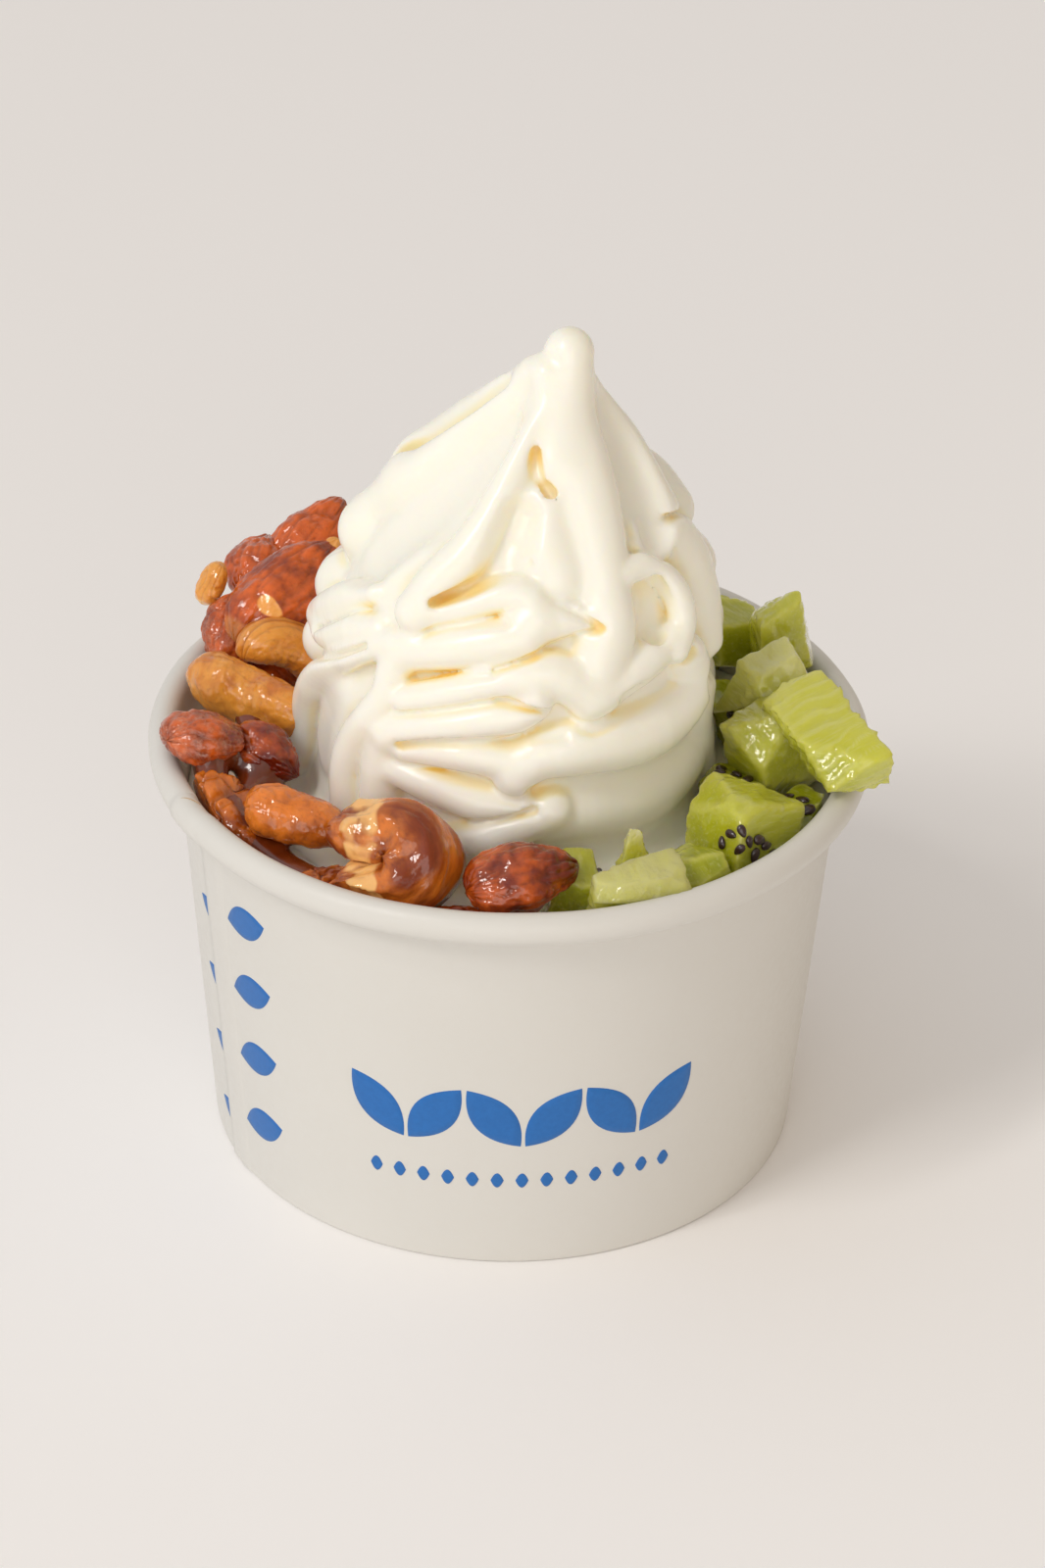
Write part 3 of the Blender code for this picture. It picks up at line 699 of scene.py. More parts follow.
def relaxed(clay, points, faces, rounds):
    """Each round moves a point halfway to the mean of its neighbours, then back onto the surface."""
    ends = np.concatenate([faces[:, [0, 1]], faces[:, [1, 2]], faces[:, [2, 0]]])
    ends = np.concatenate([ends, ends[:, ::-1]])
    share = np.bincount(ends[:, 0], minlength=len(points))[:, None]
    for _ in range(rounds):
        mean = np.stack([np.bincount(ends[:, 0], points[ends[:, 1], i], len(points)) for i in range(3)], -1)
        points = 0.5 * points + 0.5 * mean / share
        slope = field_slope(clay, points)
        steep = np.maximum((slope * slope).sum(1, keepdims=True), 0.25)
        step = read_field(clay, points)[:, None] * slope / steep
        points = points - np.clip(step, -0.6 * clay.cell, 0.6 * clay.cell)
    return points


# %% [markdown]
# ### Ropes, hollows and slits
# Every fold is a rope carried along a few places, each a turn in degrees from the front and a height.
# Pleats that run up to the tip melt into the core over several millimetres; the folds of the hairpins,
# the curl and the coils only just touch, so their blend is under a millimetre. Hollows are then
# taken out with a fat tool held near the surface, and slits with a thin one that goes in deeper and
# deeper along the same line, like a blade.

# %% Folds
# name, radii along it, blend with what is under it, how deep its middle is sunk, places
PLEATS = (
    ("tip", (3.2, 3.5, 3.4, 3.2), 1.6, 0.8, ((30, 114.7), (30, 111), (14, 107), (12, 103))),
    ("rear left pleat", (1.6, 3.2, 4.0, 4.0, 3.4), 1.6, 0.8,
     ((-80, 112), (-108, 108), (-122, 102), (-124, 96), (-118, 90))),
    ("left pleat", (1.5, 2.1, 2.5, 2.9, 3.2, 3.3, 3.0), 1.6, 0.75,
     ((-50, 112.8), (-68, 110), (-79, 105.5), (-84, 100.5), (-94, 94.5), (-102, 89.4), (-100, 86))),
    ("front pleat", (1.5, 1.9, 2.2, 2.4, 2.5, 2.8, 3.0, 3.1), 1.2, 0.32,
     ((-30, 112.8), (-22, 110.5), (-18, 106.5), (-19, 102.5), (-21, 98.5), (-26, 94), (-33, 90.2),
      (-37, 86.2))),
    ("flap", (3.0, 3.6, 3.8, 3.2), 1.6, 0.95, ((8, 111), (12, 107), (13, 103.5), (14, 101.8))),
    ("pillar", (2.4, 3.6, 4.3, 4.5, 4.2, 3.8, 3.4), 1.6, 0.75,
     ((30, 112), (31, 107), (32, 102), (33, 97), (32, 92.5), (31, 89), (30, 86))),
    ("patch", (4.2, 5.0, 5.0), 1.2, 1.12, ((6, 97.5), (8, 94), (13, 90))),
    ("rear right pleat", (3.0, 4.2, 4.6, 4.8, 4.4), 1.4, 1.0,
     ((96, 110), (104, 105), (100, 100), (90, 96), (82, 92))),
)
FOLDS = (
    ("upper hairpin top", (2.1, 2.3, 2.3), 0.8, 0.75,
     ((-31, 86.4), (-22, 88), (-14, 89.3), (-6, 89.9), (1, 89.4), (4, 87.4))),
    ("upper hairpin low", (2.5, 2.9, 2.9, 2.6), 0.8, 0.75,
     ((4, 87), (0, 85.2), (-8, 84.4), (-18, 83.4), (-29, 82), (-37, 81))),
    ("left ridge", (2.4, 2.3, 2.3, 2.5, 2.6), 0.9, 0.7,
     ((-36, 82), (-40, 79), (-40, 75), (-44, 71), (-49, 67), (-52, 62), (-51, 56))),
    ("lower hairpin top", (2.1,), 0.8, 0.75,
     ((-33, 75.2), (-26, 76.6), (-18, 78), (-10, 79.4), (-2, 80.1), (4, 79.2), (5, 77.4))),
    ("lower hairpin low", (2.4, 2.7, 2.6), 0.8, 0.75,
     ((5, 77.2), (0, 75.6), (-9, 74.6), (-20, 73.2), (-29, 71.8), (-36, 70))),
    ("slab", (2.6, 3.2, 3.2), 0.9, 0.85, ((-38, 70), (-39, 65.5), (-39, 57))),
    ("channel foot", (3.4, 3.6, 3.0), 1.6, 1.35, ((-50, 90), (-54, 86), (-48, 82.6))),
    ("left lobe top", (1.5, 2.4, 2.6, 2.6, 2.2), 1.2, 0.7,
     ((-58, 85.6), (-65, 84), (-72, 81.6), (-81, 78.4), (-90, 75.4))),
    ("left lobe low", (1.3, 1.8, 2.4, 2.5, 1.8), 1.0, 0.75,
     ((-89, 74.8), (-78, 75.4), (-70, 77.1), (-61, 79.6), (-50, 82))),
    ("panel edge", (2.0, 1.9, 2.0, 2.2, 2.4), 0.9, 0.65,
     ((-42, 81.5), (-54, 78.4), (-65, 74), (-76, 69), (-84, 64), (-88, 59), (-91, 53))),
    ("panel", (4.0, 5.0), 2.0, 1.35, ((-64, 70), (-70, 60))),
    ("wedge", (3.0, 2.8, 2.0, 0.9), 0.6, 0.9, ((0, 86.4), (8, 86.8), (17, 87), (25, 86.6))),
    ("bud left", (2.6, 3.0, 3.2, 2.8), 0.7, 0.8, ((-9, 79.6), (0, 80.6), (10, 80.4), (18, 78.6), (22, 76.6))),
    ("bud middle", (3.6, 4.2, 4.0, 3.0), 1.0, 0.8, ((30, 86.4), (29, 83.6), (26, 80.6), (23.5, 77.6))),
    ("bud right", (2.2, 2.8, 2.8, 2.6), 0.7, 0.75, ((55, 80.8), (46, 80.2), (36, 79), (26, 77.2))),
    ("curl", (1.7, 1.9, 1.9, 1.9, 1.9), 0.6, 0.35,
     ((38, 91), (46, 91), (54, 89.2), (58.5, 86), (58, 82.4), (52, 80))),
    ("right lobe", (3.8, 4.8, 5.2, 5.0, 4.2), 0.8, 0.95,
     ((62, 91.4), (76, 90), (84, 86), (84, 80), (80, 74.5))),
    ("middle coil", (3.4, 4.2, 4.6, 4.4, 4.0, 3.2), 0.7, 0.8,
     ((62, 76.6), (64, 72.6), (54, 70), (38, 69.6), (22, 70.2), (8, 69.6), (2, 67.2))),
    ("upper band", (1.7, 2.4, 2.8), 0.7, 0.95, ((-31, 68.6), (-14, 69.6), (2, 68.6))),
    ("front band", (2.2, 2.6, 2.8, 2.6), 0.7, 0.95, ((-34, 65), (-22, 64), (-8, 62.6), (3, 62.4))),
    ("skirt", (3.8, 4.4, 4.8, 5.0, 4.6, 4.0), 1.4, 1.15,
     ((84, 59), (70, 58.6), (54, 58), (38, 58.4), (22, 59.6), (12, 59.6))),
    ("front flap", (3.0, 3.0, 3.0), 0.8, 0.8, ((13, 61.6), (4, 59.6), (-6, 57.2), (-18, 55.2), (-32, 54))),
    ("right lip", (3.0, 3.8, 4.0, 4.0), 1.0, 1.1, ((80, 72), (80, 66), (82, 60), (84, 54))),
)
# hollows: radii of the tool, how far out it is held, blend, places
HOLLOWS = (
    ((3.0, 5.0, 6.0, 6.0), 3.6, 1.8, ((-42, 111), (-54, 105), (-60, 98), (-70, 91))),
    ((0.8, 1.4, 1.4), 0.3, 1.8, ((-90, 109.5), (-98, 103), (-108, 95))),
    ((2.6, 3.6, 3.8, 3.4), 1.8, 0.9, ((82, 108), (72, 102), (66, 97.6), (60, 94))),
    ((2.4, 2.8, 2.0), 1.2, 1.4, ((-7, 99), (-8, 96.4), (-12, 94))),
    ((2.2, 3.0, 3.0), 0.9, 0.8, ((68, 73), (78, 71.5), (92, 71))),
    ((0.7, 1.1), -0.8, 0.4, ((3, 101.2), (6, 100.4))),
    ((1.8, 2.5, 1.9), -0.9, 0.6, ((49, 88.4), (49, 86), (46, 83.2))),
    ((1.5, 2.0, 2.0, 1.5), 1.3, 0.8, ((14, 64.4), (30, 63), (46, 62.6), (62, 63.6))),
    ((0.9, 0.8), 0.0, 1.0, ((32, 76.8), (36, 77.4))),
    ((3.0, 4.0, 4.0), 2.0, 1.6, ((-58, 73), (-66, 67), (-70, 60))),
)
# slits: half widths along it, how deep, blend of its lips, places
SLITS = (
    ((0.3, 0.5, 0.3), 0.5, 0.9, ((-8, 105), (-6, 103.6), (-2, 102.2))),
    ((0.5, 0.6, 0.4, 0.2), 1.4, 0.8, ((-31, 88.6), (-22, 90.2), (-12, 92), (0, 93.4))),
    ((0.2, 0.25, 0.25, 0.2), 0.8, 0.7, ((-31, 84.8), (-25, 86), (-16, 87), (-6, 87.6))),
    ((0.2, 0.25, 0.25, 0.2), 0.8, 0.7, ((-34, 73.8), (-23, 75.5), (-13, 77), (-3, 78.3))),
    ((0.2, 0.3, 0.3, 0.2), 0.3, 0.9, ((-36, 77.2), (-28, 78.6), (-20, 80.2), (-8, 81.6))),
    ((0.2, 0.3, 0.25), 1.0, 0.6, ((-8, 81.7), (4, 83.6), (14, 85.3), (24, 86))),
    ((0.2, 0.3, 0.25), 0.8, 0.6, ((10, 89.6), (18, 88), (25, 86.4))),
    ((0.3, 0.35, 0.35, 0.3), 0.9, 0.9, ((-31, 69.8), (-22, 71.4), (-10, 72.5), (4, 73), (14, 73.2))),
    ((0.2, 0.25, 0.25), 0.5, 0.8, ((-26, 67.2), (-14, 66), (-4, 64.6), (4, 63.6))),
    ((0.2, 0.3, 0.3), 0.9, 0.7, ((-16, 59.8), (-4, 61), (8, 62.6))),
    ((0.5, 0.4, 0.3), 1.6, 0.8, ((7, 65.4), (12, 66), (20, 65.6))),
    ((0.3, 0.4, 0.4, 0.3), 1.2, 0.9, ((18, 65.4), (30, 64.4), (44, 64.2), (58, 64.8), (70, 67))),
    ((0.3, 0.4, 0.4), 2.2, 0.8, ((66, 104), (56, 98.6), (50, 94))),
    ((0.2, 0.3, 0.2), 0.9, 0.8, ((46, 94), (60, 94), (78, 93), (96, 91))),
    ((0.2, 0.3, 0.3), 1.2, 0.7, ((68, 90), (70, 84), (68, 78), (72, 73))),
    ((0.3, 0.35, 0.3), 1.1, 0.7,
     ((-6, 78), (6, 77), (14, 75.2), (22, 73.2), (34, 74.4), (48, 76.4), (60, 78.6))),
    ((0.2, 0.25, 0.15), 0.8, 0.6, ((-78, 76), (-70, 79.2), (-62, 82.2))),
    ((0.2, 0.3, 0.2), 0.8, 0.8, ((-90, 73), (-76, 73), (-62, 76.2), (-50, 80.2))),
)
BACK_COILS = dict(heights=(57.0, 65.5, 74.0, 82.5, 91.0), radius=4.6, start=108.0, end=256.0, rise=5.0,
                  lobes=9, depth=0.8)

# %% Model the swirl
CLAY_LOW = (-33.5, -33.5, 46.5)
CLAY_HIGH = (35.0, 33.5, 119.0)
CLAY_CELL = 0.48
CORE_SUNK = 2.8
POOL_LEVEL = 50.6


def model_swirl():
    """Core, coils of the far side, pleats, folds, hollows and slits, in that order."""
    clay = Clay(CLAY_LOW, CLAY_HIGH, CLAY_CELL)
    x, y, z = np.meshgrid(*clay.axes, indexing="ij", sparse=True)
    radius = swirl_radius(z)
    slope = np.gradient(radius.ravel(), z.ravel()).reshape(radius.shape)
    sunk = np.minimum(CORE_SUNK, 0.35 * radius)
    core = (np.hypot(x - swirl_lean(z), y) - radius + sunk) / np.sqrt(1.0 + slope**2)
    clay.far = np.maximum(core, z - (SWIRL_PROFILE[-1, 0] - 4.0)).astype(np.float32)
    whole = clay.window(np.array(CLAY_LOW), np.array(CLAY_HIGH))
    for level, height in enumerate(BACK_COILS["heights"]):
        share = np.linspace(0.0, 1.0, 48)
        turn = BACK_COILS["start"] + (BACK_COILS["end"] - BACK_COILS["start"]) * share
        rope_radius = min(BACK_COILS["radius"], 0.5 * float(swirl_radius(height)))
        radii = rope_radius + BACK_COILS["depth"] * np.cos(np.radians(BACK_COILS["lobes"] * turn + 70 * level))
        places = np.stack([turn, height + BACK_COILS["rise"] * (share - 0.5)], -1)
        clay.add_rope(places, radii, 0.9)
    for _, radii, blend, sunk, places in (*PLEATS, *FOLDS):
        clay.add_rope(places, radii, blend, sunk)
    for radii, proud, blend, places in HOLLOWS:
        clay.take_hollow(places, radii, proud, blend)
    for radii, depth, blend, places in SLITS:
        for proud in np.arange(1.2, -depth, -0.5):
            clay.take_hollow(places, radii, proud, blend)
    pool = np.broadcast_to(z - POOL_LEVEL + 0.012 * np.maximum(np.hypot(x, y) - 26.0, 0.0) ** 2, clay.count)
    clay.add(np.maximum(pool, np.hypot(x, y) - 33.0).astype(np.float32), whole, 3.0)
    clay.far = np.maximum(clay.far, (CLAY_LOW[2] + 1.0 - z).astype(np.float32))
    return clay


swirl_clay = model_swirl()
swirl_points, swirl_faces = net_of(swirl_clay)
swirl_points = relaxed(swirl_clay, swirl_points, swirl_faces, 3)
print("swirl:", len(swirl_points), "points,", len(swirl_faces), "triangles")

# %% [markdown]
# ### How deep in a fold each point lies
# Light that enters yogurt in a fold bounces from wall to wall and comes out warm and yellow. A point
# deep in a fold is one where the field a little way out is smaller than that distance, because
# another wall is near. The share that is missing is kept as an attribute, and the material paints
# that bounced light into the colour as a painted warmth in the folds.

# %% Measure the folds
def closeness(clay, points, faces, reach):
    """1 less the field at this reach outwards over the reach: 0 on open surfaces, 1 and more in folds."""
    corners = points[faces]
    normals = np.cross(corners[:, 1] - corners[:, 0], corners[:, 2] - corners[:, 0])
    outward = np.stack([sum(np.bincount(faces[:, k], normals[:, i], len(points)) for k in range(3))
                        for i in range(3)], -1)
    outward /= np.maximum(np.linalg.norm(outward, axis=1, keepdims=True), 1e-9)
    slope = field_slope(clay, points)
    outward *= np.sign((outward * slope).sum(1, keepdims=True))
    return 1.0 - read_field(clay, points + reach * outward) / reach


crease = np.clip(closeness(swirl_clay, swirl_points, swirl_faces, 1.2), 0.0, 1.5)
hollow = np.clip(closeness(swirl_clay, swirl_points, swirl_faces, 3.5), 0.0, 1.5)
print(f"creased {np.mean(crease > 0.5):.0%} of the points, hollow {np.mean(hollow > 0.5):.0%}")

# %% Where the folds get a painted glow
# turn, height and reach in mm of the few deep pockets that get a painted orange-yellow glow
POCKETS = ((5, 100.5, 1.8), (-7, 104, 1.4), (-29, 88.8, 2.6), (-20, 90.4, 2.2), (-10, 92, 1.6), 
           (9, 65.4, 2.2), (25, 86.2, 1.6), (48, 86, 1.8), (-34, 70.4, 1.8), (4, 83.6, 1.4))


def near_pockets(points):
    """The share of painted glow: exp(-(distance / reach)^2) from the nearest pocket."""
    glow = np.zeros(len(points))
    for turn, height, reach in POCKETS:
        gap = np.linalg.norm(points - on_swirl([(turn, height)], -0.8), axis=1)
        glow = np.maximum(glow, np.exp(-((gap / reach) ** 2)))
    return glow


amber = near_pockets(swirl_points)

# %% Yogurt finish
yogurt = Finish("yogurt", Roughness=0.27, Subsurface_Weight=0.5, Subsurface_Scale=0.004,
                Subsurface_Radius=(1.0, 0.76, 0.46), Specular_IOR_Level=0.55)
# Painted light: folds are painted a warm yellow and the deepest pockets an orange-yellow glow, over the cream.
in_crease = yogurt.between(yogurt.attribute("crease"), 0.70, 1.30)
in_hollow = yogurt.between(yogurt.attribute("hollow"), 0.55, 1.15)
pocket_glow = yogurt.math("MULTIPLY", yogurt.between(yogurt.attribute("crease"), 0.25, 0.8),
                     yogurt.math("MULTIPLY", yogurt.attribute("amber"), 0.8))
painted_glow_share = yogurt.math("MAXIMUM", yogurt.math("MULTIPLY", in_crease, in_hollow), pocket_glow)
cream = yogurt.mix(yogurt.noise(70.0, 2.0), shade(253, 249, 237), shade(251, 245, 229))
painted_warmth = yogurt.mix(yogurt.between(yogurt.attribute("hollow"), 0.30, 1.05), cream, shade(254, 239, 200))
yogurt.set(Base_Color=yogurt.mix(painted_glow_share, painted_warmth, shade(255, 219, 118)))
froth = yogurt.noise(1500.0, 3.0, 0.6)
ripple = yogurt.noise(160.0, 2.0)
yogurt.set(Normal=yogurt.bump(froth, 0.00005, 0.25, yogurt.bump(ripple, 0.0003, 0.3)))
swirl = piece_from("yogurt_swirl", swirl_points * MM, swirl_faces, yogurt.material, "yogurt", ("yogurt",),
                   crease=crease, hollow=hollow, amber=amber)

# %% [markdown]
# ## The yogurt in the cup
# Under the toppings the cup is full of the same yogurt. It is a turned shape like the cup, its top a
# little uneven, rising slightly towards the swirl that stands in it.

# %% Fill
FILL_AT_WALL = 49.0
FILL_AT_SWIRL = 50.4
FILL_GAP = 0.25
FILL_BOTTOM = FLOOR_RECESS + FLOOR_PAPER + FILL_GAP


def build_fill():
    """Up the side of the cup, then in over the top, turned about z, the top moved by soft noise."""
    side = np.linspace(FILL_BOTTOM, FILL_AT_WALL, 24)
    top = np.linspace(1.0, 0.03, 40)
    wall = wall_radius(FILL_AT_WALL) - PAPER - FILL_GAP
    radius = np.concatenate([[0.5 * wall], wall_radius(side) - PAPER - FILL_GAP, (wall - 0.5) * top])
    height = np.concatenate([[FILL_BOTTOM], side, FILL_AT_SWIRL + (FILL_AT_WALL + 0.25 - FILL_AT_SWIRL) * top**3])
    turn = np.radians(np.linspace(-180.0, 180.0, 160, endpoint=False))
    radius, around = np.meshgrid(radius, turn, indexing="ij")
    height = np.broadcast_to(height[:, None], radius.shape)
    points = np.stack([radius * np.sin(around), -radius * np.cos(around), height], -1).reshape(-1, 3)
    points = np.concatenate([[(0, 0, FILL_BOTTOM)], points, [(0, 0, FILL_AT_SWIRL)]])
    on_top = smooth_step(points[:, 2], FILL_AT_WALL - 0.4, FILL_AT_WALL + 0.2)
    points[:, 2] += on_top * 0.5 * unevenness(points, 0.16, 3)
    return points, capped_rows(len(side) + len(top) + 1, len(turn))


fill_points, fill_faces = build_fill()
none = np.zeros(len(fill_points))
# A hollow of 0.5 gives the fill's surface a little of the swirl's painted warmth.
piece_from("yogurt_fill", fill_points * MM, fill_faces, yogurt.material, "yogurt", ("yogurt",),
           crease=none, hollow=none + 0.5, amber=none)

# %% [markdown]
# ## Turned pieces
# A nut or a chunk of fruit is worked out along its own axes, lying flat, and then turned by a
# heading, a pitch and a roll. It goes to the middle of the node that it replaces, so that it stays
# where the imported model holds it. Its own coordinates stay with it as an attribute, because the
# grain of a skin or of fruit follows the piece and not the room.

# %% Turn and place
def turned_to(heading, pitch, roll):
    """Rz(heading) Ry(-pitch) Rx(roll), in degrees."""
    h, p, r = np.radians((heading, -pitch, roll))
    about_z = np.array(((np.cos(h), -np.sin(h), 0), (np.sin(h), np.cos(h), 0), (0, 0, 1)))
    about_y = np.array(((np.cos(p), 0, np.sin(p)), (0, 1, 0), (-np.sin(p), 0, np.cos(p))))
    about_x = np.array(((1, 0, 0), (0, np.cos(r), -np.sin(r)), (0, np.sin(r), np.cos(r))))
    return about_z @ about_y @ about_x


CLEAR_OF_CUP = 0.6


def kept_in_cup(points):
    """Points below the rim's top that would reach into the card or the bead are drawn in to clear it."""
    radius = np.hypot(points[:, 0], points[:, 1])
    card = wall_radius(points[:, 2]) - PAPER - CLEAR_OF_CUP
    bead = RIM_RADIUS - 2.0 * BEAD[0] - 0.5 * CLEAR_OF_CUP
    most = np.where(points[:, 2] < CUP_HEIGHT - 2.0 * BEAD[1], card, np.minimum(card, bead))
    past = (radius > most) & (points[:, 2] < CUP_HEIGHT - 0.5) & (radius < RIM_RADIUS - BEAD[0])
    past |= (radius > most) & (points[:, 2] < CUP_HEIGHT - 2.0 * BEAD[1])
    share = np.where(past, most / np.maximum(radius, 1e-9), 1.0)
    return points * np.stack([share, share, np.ones(len(points))], -1)


def placed(local, turn, node):
    """Points turned, with the middle of their box at the middle of the node's box, in mm."""
    points = local @ turn.T
    box_low, box_high = (np.array(corner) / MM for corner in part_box(node))
    return kept_in_cup(points + 0.5 * (box_low + box_high) - 0.5 * (points.min(0) + points.max(0)))


def outward_of(points, faces):
    """The direction out of the surface at each point: the mean of the triangles round it."""
    corners = points[faces]
    normals = np.cross(corners[:, 1] - corners[:, 0], corners[:, 2] - corners[:, 0])
    if (corners[:, 0] * normals).sum() < 0.0:
        normals = -normals
    total = np.stack([sum(np.bincount(faces[:, k], normals[:, i], len(points)) for k in range(3))
                      for i in range(3)], -1)
    return total / np.maximum(np.linalg.norm(total, axis=1, keepdims=True), 1e-9)


# %% [markdown]
# ## Sugared nuts
# Almonds, cashews and lumps of walnut were boiled in syrup, so a hard glossy shell lies over the
# skin and pools in its wrinkles. A nut is a body of rings along an axis: each ring is an ellipse, and
# how it swells along the axis makes an almond pointed and a cashew blunt. The axis of a cashew is
# bent to an arc. Wrinkles run lengthwise on an almond, so their noise is stretched that way; a
# walnut's folds wander, so theirs isn't.

# %% Nut shapes
NUT_ROWS = 84
NUT_COLUMNS = 96


def bent(local, length, degrees, share):
    """The axis bent to an arc over this share of the length, with the ends left straight."""
    if not degrees:
        return local
    arc_angle = math.radians(degrees)
    straight_part = 0.5 * length * (1.0 - share)
    radius = (length - 2.0 * straight_part) / arc_angle
    x, y, z = local.T
    angle = np.clip(x / radius, -0.5 * arc_angle, 0.5 * arc_angle)
    past = x - angle * radius
    return np.stack([(radius + y) * np.sin(angle) + past * np.cos(angle),
                     (radius + y) * np.cos(angle) - past * np.sin(angle) - radius, z], -1)


def ridged(field, width):
    """1 along the lines where the noise is zero, falling to 0 this far on either side."""
    return np.clip(1.0 - np.abs(field) / width, 0.0, 1.0) ** 1.5


def nut_body(kind, along, around):
    """Radius of the rings along a nut, by its kind."""
    tip = smooth_step(along, 0.55, 1.0)
    ring = np.sqrt(np.maximum(1.0 - along**2, 0.0))
    if kind == "almond":
        return ring * (1.0 - 0.22 * along - 0.10 * along**2) * (1.0 - 0.22 * tip)
    if kind == "walnut":
        return ring
    if kind == "folded":
        return np.maximum(1.0 - np.abs(along) ** 2.6, 0.0) ** 0.5 * (1.0 + 0.42 * (1.0 - np.abs(along)) ** 1.5)
    return np.maximum(1.0 - np.abs(along) ** 2.6, 0.0) ** 0.5 * (1.0 + 0.14 * np.abs(along) - 0.12 * along)


def nut_wrinkles(kind, along, around, flat, seed):
    """Wrinkles from 0 to 1, and the depth in mm that they and the lumps take off the surface."""
    if kind == "almond":
        lines = np.stack([3.0 * np.cos(around), 3.0 * np.sin(around), 1.3 * along], -1)
        wrinkles = np.maximum(ridged(unevenness(lines, 1.0, seed), 0.22),
                              0.6 * ridged(unevenness(lines, 2.1, seed + 7), 0.25))
        return wrinkles, 0.36 * wrinkles + 0.55 * unevenness(flat, 0.3, seed + 3)
    if kind == "folded":
        lines = np.stack([2.0 * np.cos(around), 2.0 * np.sin(around), 1.5 * along], -1)
        wrinkles = np.maximum(0.6 * ridged(unevenness(lines, 1.0, seed), 0.16),
                              0.5 * ridged(unevenness(flat, 0.3, seed), 0.14))
        return wrinkles, 0.45 * wrinkles + 0.8 * unevenness(flat, 0.33, seed + 3)
    if kind == "walnut":
        wrinkles = np.maximum(ridged(unevenness(flat, 0.26, seed), 0.20),
                              0.5 * ridged(unevenness(flat, 0.55, seed + 5), 0.25))
        return wrinkles, 1.3 * wrinkles + 0.8 * unevenness(flat, 0.2, seed + 3)
    turn = (around + 0.25 * along - 0.35 + np.pi) % (2.0 * np.pi) - np.pi
    seam = np.exp(-((turn / 0.07) ** 2)) + 0.6 * np.exp(-(((turn - 0.42) / 0.05) ** 2))
    lines = np.stack([2.2 * np.cos(around), 2.2 * np.sin(around), 1.2 * along], -1)
    wrinkles = np.clip(seam + 0.5 * ridged(unevenness(lines, 1.0, seed), 0.18), 0.0, 1.0)
    return wrinkles, 0.26 * wrinkles + 0.45 * unevenness(flat, 0.24, seed + 3)


def nut_surface(kind, length, width, thickness, bend, seed):
    """Rings along x, less the wrinkles, then bent; with the wrinkles and the flat coordinates."""
    along, around = capped_grid(NUT_ROWS, NUT_COLUMNS)
    ring = nut_body(kind, along, around)
    flat = np.stack([0.5 * length * along, 0.5 * width * ring * np.cos(around),
                     0.5 * thickness * ring * np.sin(around)], -1)
    faces = capped_rows(NUT_ROWS, NUT_COLUMNS)
    outward = outward_of(flat, faces)
    wrinkles, depth = nut_wrinkles(kind, along, around, flat, seed)
    small = 0.16 * unevenness(flat, 0.9, seed + 11) + 0.08 * unevenness(flat, 2.0, seed + 13)
    shaped = flat + outward * (small - depth)[:, None]
    return bent(shaped, length, bend, 0.4 if kind == "folded" else 1.0), faces, wrinkles, flat


